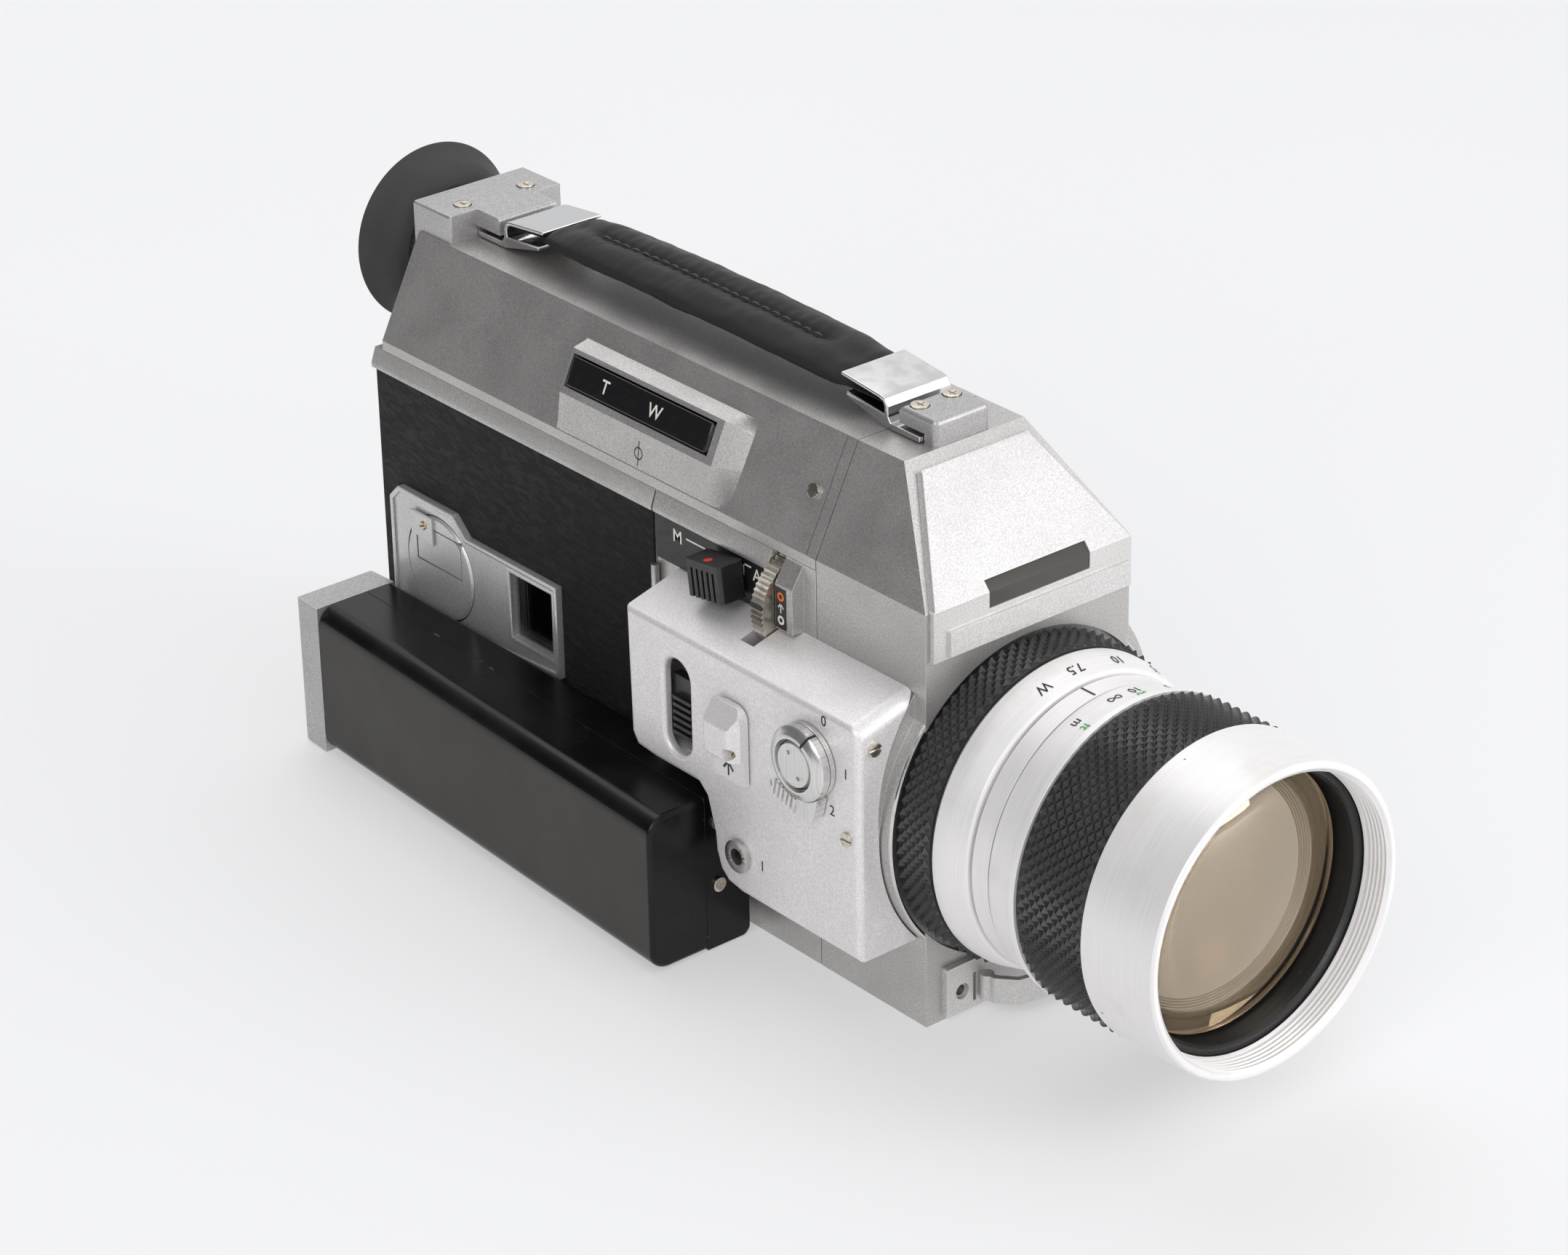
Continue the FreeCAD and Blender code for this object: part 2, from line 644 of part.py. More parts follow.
def window_rim(edge):
    """Edge of the slider's window on the outer face."""
    point = edge.CenterOfMass
    return (abs(point.y + D.panel_y.value) < 0.01
            and 0 < point.x - D.window_x.value < D.window_width.value
            and 0 < point.z - D.window_z.value < D.window_height.value)


def window_cutter():
    """Round-ended opening over the speed slider."""
    middle = D.window_x + D.window_width * 0.5
    half = D.window_width * 0.5 - 0.7
    face = -D.panel_y
    low, high = D.window_z + half + 0.7, D.window_z + D.window_height - half - 0.7
    return fuse(
        "panel_cut_window",
        box("window_mid", (middle - half, face - 1, low), (middle + half, face + 3, high)),
        cylinder("window_low", half, 4, (middle, face + 3, low), "right"),
        cylinder("window_high", half, 4, (middle, face + 3, high), "right"))


def speed_slider():
    """Ribbed slider seen through the window."""
    base = box("slider_base", (D.window_x + 0.6, -39.6, D.window_z + 3.4),
               (D.window_x + 9.2, -37.4, D.window_z + 17.4))
    ribs = [box(f"slider_rib_{step}", (D.window_x + 1.9, -41.0, D.window_z + 4.4 + 1.6 * step),
                (D.window_x + 7.9, -39.5, D.window_z + 5.2 + 1.6 * step)) for step in range(6)]
    return fuse("speed_slider", base, *ribs)


def slide_button():
    """Push-up release: thin arrow plate with a wedge-shaped thumb block and a stem."""
    out = -D.panel_y
    left, low = D.button_x, D.button_z
    right, high = left + D.button_width, low + D.button_height
    foot = D.button_z + 5.8
    thin = rounded("button_plate", box("button_plate_raw", (left, out - 1.6, low), (right, out - 0.3, high)),
                   3.0, along(Y, lambda point: point.z > low.value + 10))
    wedge = plate("button_wedge", "XY",
                  [(left, out - 0.8), (left, out - 4.6), (left + 7.6, out - 4.6), (right, out - 2.4),
                   (right, out - 0.8)], foot, high - foot)
    pocket(wedge, "YZ", [(out - 5.2, foot + 6.4), (out - 1.4, high + 0.1), (out - 5.2, high + 0.1)],
           left - 1, D.button_width + 2)
    corner = rounded("button_wedge_corner", wedge, 3.0, button_corner)
    block = rounded("button_block", corner, 0.9, button_face)
    recess = cylinder("button_screw_seat", 1.3, 6, (left + 7.5, out - 1.7, foot + 2.0), "right")
    stem = box("button_stem", (left + 3.4, out - 0.4, low + 5.0), (left + 7.6, out + 2.6, low + 11.0))
    return fuse("slide_button", thin, cut("button_block_seated", block, recess), stem)


def button_corner(edge):
    """Top corner of the thumb block, where it runs down to the plate."""
    point = edge.CenterOfMass
    return (abs(edge.Curve.Direction.y) > 0.9 and point.x > D.button_x.value + D.button_width.value - 0.1
            and point.z > D.button_z.value + 15)


def button_face(edge):
    """Rim of the thumb block's outer face."""
    return edge.CenterOfMass.y < -D.panel_y.value - 4.5


def mode_dial():
    """Dial with a wide bevel, a groove and a two-hole cap, on a shaft."""
    out, edge = D.panel_y + 1.5, D.dial_radius
    dial = turned("dial_turned",
                  [(out, 3), (out, edge), (out + 1.7, edge), (out + 2.1, edge - 0.4),
                   (out + 3.0, edge - 2.0), (out + 3.0, edge - 2.4), (out + 2.0, edge - 2.6),
                   (out + 2.0, edge - 3.2), (out + 2.8, edge - 3.4), (out + 2.8, 0), (out - 4.3, 0),
                   (out - 4.3, 2.9), (out, 2.9)], (D.dial_x, 0, D.dial_z), FACING_RIGHT)
    holes = [cylinder(f"dial_hole_{hand}", 0.5, 2,
                      (D.dial_x + hand * 1.4, -D.panel_y - 3.3, D.dial_z - hand * 2.4), "right")
             for hand in (-1, 1)]
    return cut("mode_dial", dial, *holes)


def dial_lever():
    """Thin ring under the dial with a ribbed thumb tab."""
    ring = cylinder("lever_ring", D.dial_radius, 1.1, (D.dial_x, -D.panel_y - 0.2, D.dial_z), "right")
    arm = rounded("lever_arm", box("lever_arm_raw", (-6.8, -D.panel_y - 2.9, -11.2),
                                   (6.8, -D.panel_y - 0.2, -5.0)),
                  2.4, along(Y, lambda point: point.z < -10))
    ribs = [box(f"lever_rib_{step}", (-5.6 + 1.3 * step, -D.panel_y - 3.4, -11.6),
                (-5.0 + 1.3 * step, -D.panel_y - 0.6, -8.0)) for step in range(6)]
    tab = fuse("lever_tab", arm, *ribs)
    place(tab, (D.dial_x, 0, D.dial_z), Rotation(Y, 14))
    clear = cylinder("lever_clear", D.dial_radius + 0.2, 8,
                     (D.dial_x, -D.panel_y - 1.3, D.dial_z), "right")
    hub = cylinder("lever_bore", 3.1, 8, (D.dial_x, -D.panel_y + 2, D.dial_z), "right")
    return cut("dial_lever", fuse("lever_joined", ring, tab), clear, hub)


def exposure_knob():
    """Ribbed black switch knob, set at a slant, on a short shaft."""
    blank = box("knob_blank", (-6.4, -35.2, -4.0), (4.8, -28.7, 4.0))
    waist = [box(f"knob_groove_{step}", (-4.6 + 1.7 * step, -36.0, -5.0),
                 (-3.9 + 1.7 * step, -34.5, 2.4)) for step in range(5)]
    grips = cut("knob_ribbed", rounded("knob_soft", blank, 0.9, along(Z)), *waist)
    shaft = cylinder("knob_shaft", 2.0, 5, (0, -24.6, 0), "right")
    knob = fuse("exposure_knob", grips, shaft)
    return place(knob, (D.knob_x, 0, D.knob_z), Rotation(Y, -8))


def aperture_wheel():
    """Knurled edge wheel, its axle along X."""
    teeth = 58
    depth = 0.45
    points = []
    for step in range(2 * teeth):
        angle = math.pi * step / teeth
        radius = D.wheel_radius.value - (depth if step % 2 else 0)
        points.append(Vector(0, radius * math.cos(angle), radius * math.sin(angle)))
    outline = Part.makePolygon(points + points[:1])
    disc = Part.Face(outline).extrude(Vector(D.wheel_width.value, 0, 0))
    axle = Part.makeCylinder(1.5, 7, Vector(-1.7, 0, 0), X)
    thing = doc.addObject("Part::Feature", "aperture_wheel")
    thing.Shape = disc.fuse(axle)
    return place(thing, (D.wheel_x, -D.wheel_y, D.wheel_z))


def remote_jack():
    barrel = cylinder("jack_barrel", 2.95, 10, (D.jack_x, -D.panel_y + 9, D.jack_z), "right")
    flange = cylinder("jack_flange", 3.6, 1.1, (D.jack_x, -D.panel_y, D.jack_z), "right")
    hole = cylinder("jack_bore", 1.8, 9, (D.jack_x, -D.panel_y + 7, D.jack_z), "right")
    return cut("remote_jack", fuse("jack_joined", barrel, flange), hole)


def dome_screw(label, at, axis):
    """Slotted dome head, 2.3 mm across the slot line, standing on a face."""
    head = cylinder(label + "_head", 1.5, 0.7, at, axis)
    x, y, z = at
    if axis == "right":
        slot = box(label + "_slot", (x - 1.7, y - 0.9, z - 0.22), (x + 1.7, y - 0.35, z + 0.22))
    elif axis == "x":
        slot = box(label + "_slot", (x + 0.35, y - 1.7, z - 0.22), (x + 0.9, y + 1.7, z + 0.22))
    else:
        slot = box(label + "_slot", (x - 1.7, y - 0.22, z + 0.35), (x + 1.7, y + 0.22, z + 0.9))
    return cut(label, head, slot)


def cross_screw(label, at):
    """Cross-slotted pan head sunk in a bracket."""
    x, y, z = at
    head = cylinder(label + "_head", 1.9, 0.9, at)
    arms = [box(label + "_arm_a", (x - 1.2, y - 0.25, z + 0.4), (x + 1.2, y + 0.25, z + 1.0)),
            box(label + "_arm_b", (x - 0.25, y - 1.2, z + 0.4), (x + 0.25, y + 1.2, z + 1.0))]
    return cut(label, head, *arms)


def case_screws():
    return group(
        "case_screws",
        dome_screw("screw_panel", (63.7, -D.panel_y, 46.6), "right"),
        dome_screw("screw_brow", (D.panel_front_x, -38.2, 66.6), "x"),
        place(dome_screw("screw_slope", (0, 0, 0), "z"), (30.7, -21.7, 104.0), Rotation(X, SLOPE_TILT)),
        cross_screw("screw_front_a", (FRONT_SCREW_X, -FRONT_SCREW_Y, FRONT_BRACKET_TOP - 0.6)),
        cross_screw("screw_front_b", (FRONT_SCREW_X, FRONT_SCREW_Y, FRONT_BRACKET_TOP - 0.6)),
        cross_screw("screw_rear_a", (REAR_SCREW_X, -REAR_SCREW_Y, REAR_BRACKET_TOP - 0.6)),
        cross_screw("screw_rear_b", (REAR_SCREW_X, REAR_SCREW_Y, REAR_BRACKET_TOP - 0.6)))


# ---------------------------------------------------------------- lens

def lens_barrel():
    """Fixed barrel: seat in the front casting, index band and focus bearing."""
    inner, seat = D.barrel_bore, D.bearing_radius
    return turned("lens_barrel",
                  [(D.front_x - 14, inner), (D.front_x - 14, D.barrel_radius - 0.05),
                   (D.zoom_front_x + 0.5, D.barrel_radius - 0.05), (D.zoom_front_x + 0.5, D.index_radius),
                   (D.index_front_x, D.index_radius), (D.index_front_x, seat), (117.0, seat),
                   (117.0, inner)], ON_LENS_AXIS)


def zoom_ring():
    inner, seat = D.barrel_radius + D.bore_gap, D.zoom_knurl_radius - 2.3
    return turned("zoom_ring",
                  [(D.zoom_rear_x, inner), (D.zoom_rear_x, seat), (D.zoom_mark_x, seat),
                   (D.zoom_mark_x, D.zoom_ring_radius - 0.6), (D.zoom_mark_x + 0.6, D.zoom_ring_radius),
                   (D.zoom_mark_x + 3.2, D.zoom_ring_radius), (D.zoom_front_x - 0.4, D.zoom_edge_radius),
                   (D.zoom_front_x, D.zoom_edge_radius - 0.5), (D.zoom_front_x, inner)], ON_LENS_AXIS)


def zoom_grip():
    seat = D.zoom_knurl_radius - 2.3
    return turned("zoom_grip",
                  [(D.zoom_rear_x, seat), (D.zoom_rear_x, D.zoom_knurl_radius),
                   (D.zoom_mark_x, D.zoom_knurl_radius), (D.zoom_mark_x, seat)], ON_LENS_AXIS)


def focus_ring():
    inner, seat = D.bearing_radius + D.bore_gap, D.focus_radius - 1.9
    return turned("focus_ring",
                  [(D.index_front_x + 0.4, inner), (D.index_front_x + 0.4, D.index_radius + 0.1),
                   (D.index_front_x + 0.9, D.index_radius + 0.4),
                   (D.scale_front_x - 2.2, D.focus_radius - 1.2),
                   (D.scale_front_x - 1.6, D.focus_radius), (D.scale_front_x, D.focus_radius),
                   (D.scale_front_x, seat), (D.focus_front_x, seat), (D.focus_front_x, inner)],
                  ON_LENS_AXIS)


def focus_grip():
    seat = D.focus_radius - 1.9
    return turned("focus_grip",
                  [(D.scale_front_x, seat), (D.scale_front_x, D.focus_radius + 0.4),
                   (D.focus_front_x, D.focus_radius + 0.4), (D.focus_front_x, seat)], ON_LENS_AXIS)


def front_band():
    """Front band with the filter thread in its mouth."""
    rear, front, edge = D.focus_front_x + 0.05, D.lens_front_x, D.focus_radius
    thread = D.filter_radius
    return turned("front_band",
                  [(rear, D.front_bore), (rear, edge - 0.1), (rear + 0.3, edge + 0.2),
                   (front - 6, edge - 0.1),
                   (front - 0.6, edge - 0.2), (front, edge - 0.7), (front, thread + 0.6),
                   (front - 0.6, thread), (front - 6.2, thread), (front - 6.2, thread - 0.8),
                   (front - 8.9, thread - 0.8), (front - 8.9, D.front_bore)], ON_LENS_AXIS)


def retaining_ring():
    thread, front = D.filter_radius, D.lens_front_x
    return turned("retaining_ring",
                  [(front - 8.8, D.glass_radius + 0.1), (front - 8.8, thread - 0.85),
                   (front - 6.6, thread - 0.85), (front - 6.6, D.glass_radius + 0.6),
                   (front - 7.4, D.glass_radius + 0.1)], ON_LENS_AXIS)


def glass(label, radius, low_x, high_x, curve):
    """Disc of glass, its front face part of a sphere of the given radius."""
    blank = cylinder(label + "_blank", radius, sized(high_x) - low_x, (low_x, 0, D.lens_z), "x")
    ball = doc.addObject("Part::Sphere", label + "_ball")
    bind(ball, "Radius", curve)
    place(ball, (sized(high_x) - curve, 0, D.lens_z))
    return common(label, blank, ball)


def front_lens():
    return glass("front_lens", D.glass_radius, 121.0, D.lens_front_x - 6.4, 66)


def lens_cell(label, radius, rear, length, curve):
    """Glass in a thin metal cell."""
    cell = turned(label + "_cell", [(rear, radius - 2), (rear, radius), (rear + length, radius),
                                    (rear + length, radius - 2)], ON_LENS_AXIS)
    element = glass(label + "_glass", radius - 1.95, rear + 0.6, rear + length - 0.2, curve)
    return fuse(label, cell, element)


def variator_cell():
    return lens_cell("variator_cell", D.moving_cell_radius, 92.0, 8.0, 90)


def compensator_cell():
    return lens_cell("compensator_cell", D.moving_cell_radius, 80.0, 6.0, 120)


def relay_lens():
    return lens_cell("relay_lens", 19.5, 38.0, 14.0, 80)


# ---------------------------------------------------------------- film drive

def film_gate():
    """Pressure frame with the picture opening, on the chamber's front wall."""
    body = plate("film_gate", "YZ", rectangle((-9, D.lens_z - 15), (5.5, D.lens_z + 15)),
                 D.chamber_front_x - 2.6, 2.5)
    return pocket(body, "YZ", rectangle((-2.9, D.lens_z - 2.1), (2.9, D.lens_z + 2.1)),
                  D.chamber_front_x - 4, 5)


def toothed(label, teeth, pitch_radius, width, at, shaft_radius, shaft_span, phase):
    """Spur wheel with slim straight-sided teeth on a shaft along X."""
    pitch = 2 * math.pi / teeth
    points = []
    for tooth in range(teeth):
        for share, height in ((-0.30, -0.55), (-0.12, 0.45), (0.12, 0.45), (0.30, -0.55)):
            angle = (tooth + share + phase) * pitch
            radius = pitch_radius + height
            points.append(Vector(0, radius * math.cos(angle), radius * math.sin(angle)))
    disc = Part.Face(Part.makePolygon(points + points[:1])).extrude(Vector(width, 0, 0))
    shaft = Part.makeCylinder(shaft_radius, shaft_span[1] - shaft_span[0],
                              Vector(shaft_span[0], 0, 0), X)
    thing = doc.addObject("Part::Feature", label)
    thing.Shape = disc.fuse(shaft)
    return place(thing, at)


SHUTTER_Y, SHUTTER_Z, SHUTTER_X = 4.0, 62.0, -6.0
MOTOR_ANGLE = math.atan2(-9.0, 12.0)
MOTOR_Y = SHUTTER_Y + 15.2 * math.cos(MOTOR_ANGLE)
MOTOR_Z = SHUTTER_Z + 15.2 * math.sin(MOTOR_ANGLE)


def drive_gear():
    phase = MOTOR_ANGLE / (2 * math.pi / 40)
    return toothed("drive_gear", 40, 12.0, 3.0, (SHUTTER_X, SHUTTER_Y, SHUTTER_Z), 1.5, (0, 18), phase)


def motor_pinion():
    phase = (MOTOR_ANGLE + math.pi) / (2 * math.pi / 10) + 0.5
    return toothed("motor_pinion", 10, 3.0, 4.0, (SHUTTER_X - 0.5, MOTOR_Y, MOTOR_Z), 1.0, (0, 8), phase)


def shutter_disc():
    """Open-sector shutter on the gear's shaft line."""
    disc = cylinder("shutter_blank", 21.0, 0.8, (SHUTTER_X - 3.2, SHUTTER_Y, SHUTTER_Z), "x")
    hub = cylinder("shutter_hub", 3.0, 3.0, (SHUTTER_X - 3.1, SHUTTER_Y, SHUTTER_Z), "x")
    sector = plate("shutter_sector", "YZ",
                   [(SHUTTER_Y, SHUTTER_Z + 4), (SHUTTER_Y + 24, SHUTTER_Z + 26),
                    (SHUTTER_Y - 24, SHUTTER_Z + 26)],
                   SHUTTER_X - 4, 2.0)
    return cut("shutter_disc", fuse("shutter_joined", disc, hub), sector)


def drive_motor():
    can = cylinder("motor_can", 7.6, 26, (SHUTTER_X + 8.4, MOTOR_Y, MOTOR_Z), "x")
    boss = cylinder("motor_boss", 2.6, 1.0, (SHUTTER_X + 7.6, MOTOR_Y, MOTOR_Z), "x")
    shaft_room = cylinder("motor_shaft_room", 1.05, 4, (SHUTTER_X + 6, MOTOR_Y, MOTOR_Z), "x")
    return cut("drive_motor", fuse("motor_joined", can, boss), shaft_room)


def drive_spindle():
    """Three-armed spindle that turns the film cartridge's core."""
    shaft = cylinder("spindle_shaft", 3.0, 16.5, (SPINDLE_X, D.partition_y + 8, SPINDLE_Z), "right")
    wheel = cylinder("spindle_wheel", 10, 3, (SPINDLE_X, D.partition_y + 8, SPINDLE_Z), "right")
    arms = []
    for step in range(3):
        angle = math.radians(120 * step)
        corner = (SPINDLE_X - 0.7 * math.sin(angle), -3.5, SPINDLE_Z - 0.7 * math.cos(angle))
        arms.append(place(box(f"spindle_arm_{step}", (0, 0, 0), (4.6, 6, 1.4)), corner,
                          Rotation(Y, 120 * step)))
    return fuse("drive_spindle", shaft, wheel, *arms)


# ---------------------------------------------------------------- viewfinder

def viewfinder_tube():
    return turned("viewfinder_tube",
                  [(-121.0, 5.6), (-121.0, D.finder_radius), (30.0, D.finder_radius), (30.0, 6.2),
                   (-118.0, 6.2), (-118.0, 5.6)], (0, 0, D.eye_z))


def diopter_ring():
    """Serrated ring on the eyepiece."""
    inner, outer = D.finder_radius.value + 0.1, 13.2
    teeth = 60
    points = []
    for step in range(2 * teeth):
        angle = math.pi * step / teeth
        radius = outer - (0.4 if step % 2 else 0)
        points.append(Vector(0, radius * math.cos(angle), radius * math.sin(angle)))
    disc = Part.Face(Part.makePolygon(points + points[:1])).extrude(Vector(5.0, 0, 0))
    neck = Part.makeCylinder(11.0, 5.0, Vector(-5.0, 0, 0), X)
    hole = Part.makeCylinder(inner, 12, Vector(-6, 0, 0), X)
    thing = doc.addObject("Part::Feature", "diopter_ring")
    thing.Shape = disc.fuse(neck).cut(hole)
    return place(thing, (-117.7, 0, D.eye_z))


def eyecup():
    """Flared rubber cup."""
    rear, rim = D.cup_rear_x, D.cup_radius
    return turned("eyecup",
                  [(-122.4, 11.05), (-117.7, 11.05), (-117.7, 13.6), (-119.0, 15.6), (-121.2, 17.4),
                   (rear + 2.4, 19.4), (rear + 0.5, rim), (rear, rim - 0.5), (rear + 0.4, rim - 1.6),
                   (rear + 2.6, rim - 3.6), (-122.4, 13.0)], (0, 0, D.eye_z))


# ---------------------------------------------------------------- carrying strap

def strap_brackets():
    return group("strap_brackets", rear_bracket(), front_bracket())


def rear_bracket():
    """T-shaped bracket over the eyepiece, undercut for the strap clip."""
    top = REAR_BRACKET_TOP
    bar = box("rear_bar", (D.housing_rear_x + 0.6, -15.2, D.top_z + 0.02), (-99.0, 15.2, top))
    tongue = box("rear_tongue", (-99.2, -7.8, 118.0), (-91.0, 7.8, top))
    heel = box("rear_heel", (D.housing_rear_x - 2.4, -15.2, 96.5), (D.housing_rear_x - 0.05, 15.2, top))
    bridge = box("rear_bridge", (D.housing_rear_x - 0.1, -15.2, D.top_z + 0.02),
                 (D.housing_rear_x + 0.7, 15.2, top))
    joined = fuse("rear_bracket_joined", bar, tongue, heel, bridge)
    soft = rounded("rear_bracket_soft", joined, 0.7, rear_bracket_rim)
    eye = cylinder("rear_eye", D.finder_radius + D.bore_gap, 8, (D.housing_rear_x - 5, 0, D.eye_z), "x")
    seats = [cylinder(f"rear_seat_{hand}", 2.1, 2, (REAR_SCREW_X, hand * REAR_SCREW_Y, top - 0.65))
             for hand in (-1, 1)]
    return cut("rear_bracket", soft, eye, *seats)


def rear_bracket_rim(edge):
    point = edge.CenterOfMass
    if edge.Curve.TypeId != "Part::GeomLine":
        return False
    on_outer_top = point.z > REAR_BRACKET_TOP - 0.1 and (abs(point.y) > 15.1 or point.x > -91.1)
    upright = abs(edge.Curve.Direction.z) > 0.99 and point.x > -99.1 and abs(point.y) > 15.1
    return on_outer_top or upright


def front_bracket():
    top = FRONT_BRACKET_TOP
    blank = box("front_bracket_blank", (39.8, -7.3, D.top_z + 0.02), (50.4, 7.3, top))
    soft = rounded("front_bracket_soft", blank, 1.3,
                   lambda edge: edge.CenterOfMass.z > top - 0.01
                   or (abs(edge.CenterOfMass.y) > 7.2 and edge.CenterOfMass.x > 50.3))
    tunnel = box("front_tunnel", (39.0, -8, 115), (47.2, 8, 117.6))
    seats = [cylinder(f"front_seat_{hand}", 2.1, 2, (FRONT_SCREW_X, hand * FRONT_SCREW_Y, top - 0.65))
             for hand in (-1, 1)]
    return cut("front_bracket", soft, tunnel, *seats)


def strap_clips():
    return group("strap_clips",
                 plate("clip_front", "XZ", clip_outline(1, 47.0), -8.4, 16.8),
                 plate("clip_rear", "XZ", clip_outline(-1, -98.8), -8.0, 16.0))


def clip_outline(sign, at):
    """Chrome clip: a long lower leaf and a shorter upper leaf joined by a bend."""
    steps = [(0, 0.3), (0, 1.4), (-8.6, 1.5), (-9.4, 2.6), (-9.4, 4.8), (-10.4, 6.3), (-12.0, 6.7),
             (-23.6, 7.9), (-23.6, 7.1), (-12.2, 5.9), (-11.0, 5.5), (-10.6, 4.6), (-10.6, 3.0),
             (-22.0, 4.2), (-22.0, 3.2), (-10.0, 0.3)]
    return [(at + sign * step, D.top_z + rise) for step, rise in steps]


def carry_strap():
    """Padded strap between the two clips."""
    rise = D.top_z
    ends = [(-86.0, 4.5), (-86.0, 5.4), (-74.0, 6.4), (-72.5, 9.0), (21.5, 9.0), (23.5, 6.6),
            (34.6, 5.4), (34.6, 4.6), (23.0, 5.6), (20.5, 3.6), (-72.0, 3.6), (-74.5, 5.4)]
    return plate("carry_strap", "XZ", [(x, rise + height) for x, height in ends], -7.6, 15.2)


# ---------------------------------------------------------------- grip

def grip_plan(inner, inner_tail, outer, outer_tail, front, rear):
    """Seen from above: sides that close in a little towards the rear."""
    return [(front, -inner), (front, -outer), (rear, -outer_tail), (rear, -inner_tail)]


def grip_shell():
    """Outer half of the battery grip."""
    low, high = D.grip_low_z, D.grip_top_z
    outer = plate("grip_shell_block", "XY",
                  grip_plan(D.grip_seam_y, D.grip_seam_tail_y, D.grip_outer_y, D.grip_tail_y,
                            D.grip_front_x, D.grip_rear_x), low, high - low)
    soft = rounded("grip_shell_soft", outer, 4.6,
                   lambda edge: edge.CenterOfMass.y < -50
                   and abs(edge.CenterOfMass.x + 44) < 30)
    front_edge = rounded("grip_shell_round", soft, 1.2, grip_front_rim)
    room = plate("grip_shell_room", "XY",
                 grip_plan(D.grip_seam_y - 1, D.grip_seam_tail_y - 1, D.grip_outer_y - 2.2,
                           D.grip_tail_y - 2.2, D.grip_front_x - 2.5, D.grip_rear_x - 1),
                 low + 2.2, high - low - 4.4)
    return cut("grip_shell", front_edge, room)


def grip_front_rim(edge):
    point = edge.CenterOfMass
    return point.x > D.grip_front_x.value - 0.01 and point.y < -43


def grip_cover():
    """Inner half of the grip, with the hinge bore."""
    low, high = D.grip_low_z, D.grip_top_z
    gap = 0.15
    blank = plate("grip_cover_block", "XY",
                  grip_plan(D.grip_inner_y, D.grip_inner_y, D.grip_seam_y - gap,
                            D.grip_seam_tail_y - gap, D.grip_front_x, D.grip_rear_x), low, high - low)
    soft = rounded("grip_cover_soft", blank, 2.0,
                   lambda edge: edge.CenterOfMass.y > -30.5 and abs(edge.Curve.Direction.x) > 0.99)
    room = plate("grip_cover_room", "XY",
                 grip_plan(D.grip_inner_y + 2.2, D.grip_inner_y + 2.2, D.grip_seam_y + 1,
                           D.grip_seam_tail_y + 1, -1.0, D.grip_rear_x - 1),
                 low + 2.2, high - low - 4.4)
    hinge = cylinder("grip_hinge_bore", D.hinge_radius + 0.05, 14,
                     (D.hinge_x, -D.grip_inner_y + 2, D.hinge_z), "right")
    return cut("grip_cover", soft, room, hinge)


def battery_cap():
    """End cap that closes the battery room."""
    low, high = D.grip_low_z, D.grip_top_z
    blank = plate("cap_blank", "XY",
                  grip_plan(D.grip_inner_y + 0.2, D.grip_inner_y + 0.8, D.grip_tail_y + 0.1,
                            D.grip_tail_y - 0.4, D.grip_rear_x - 0.3, D.cap_rear_x), low, high - low)
    soft = rounded("cap_soft", blank, 2.4,
                   lambda edge: edge.CenterOfMass.x < D.cap_rear_x.value + 1)
    room = box("cap_room", (D.grip_rear_x - 6.0, -D.grip_tail_y + 2.6, low + 2.4),
               (D.grip_rear_x, -D.grip_inner_y - 3.4, high - 2.4))
    return cut("battery_cap", soft, room)


def batteries():
    """Four penlight cells, two rows of two."""
    cells = []
    for row, z in enumerate((D.grip_low_z + 10.2, D.grip_low_z + 25.6)):
        for column in range(2):
            start = D.grip_rear_x + 2.5 + column * (D.cell_length + 1.0)
            cells.append(cylinder(f"cell_{row}_{column}", D.cell_radius, D.cell_length,
                                  (start, -40.9, z), "x"))
    return group("batteries", *cells)


def grip_screws():
    face = D.grip_front_x
    heads = []
    for name, y, z in (("grip_screw_a", -38.5, 15.3), ("grip_screw_b", -38.5, 30.0)):
        head = cylinder(name + "_head", 1.6, 0.6, (face + 0.02, y, z), "x")
        arms = [box(name + "_up", (face + 0.3, y - 0.2, z - 1.0), (face + 0.8, y + 0.2, z + 1.0)),
                box(name + "_across", (face + 0.3, y - 1.0, z - 0.2), (face + 0.8, y + 1.0, z + 0.2))]
        heads.append(cut(name, head, *arms))
    return group("grip_screws", *heads)


def grip_hinge_block():
    drum = cylinder("hinge_drum", 8.5, 2.9, (D.hinge_x, -D.half_width - 0.02, D.hinge_z), "right")
    return cut("grip_hinge_block", drum,
               cylinder("hinge_drum_bore", D.hinge_radius + 0.02, 5, (D.hinge_x, -26, D.hinge_z), "right"))


def grip_hinge_pin():
    return cylinder("grip_hinge_pin", D.hinge_radius, 10.4, (D.hinge_x, -D.half_width - 0.1, D.hinge_z),
                    "right")


# ---------------------------------------------------------------- release

def trigger_plate():
    """Low plate on the front with the cable release socket and the trigger slot."""
    body = box("trigger_plate_blank", (D.front_x + 0.02, -23.0, 1.0), (D.front_x + 1.4, 23.0, 12.2))
    soft = rounded("trigger_plate_soft", body, 0.7, along(X))
    ring = cylinder("trigger_plate_arc", 35.6, 4, (D.front_x - 1, 0, D.lens_z), "x")
    socket = cylinder("release_bore", 1.8, 4, (D.front_x - 1, RELEASE_Y, RELEASE_Z), "x")
    slot = box("trigger_slot", (D.front_x - 1, -15.8, 2.4), (D.front_x + 3, -15.0, 9.0))
    return cut("trigger_plate", soft, ring, socket, slot)


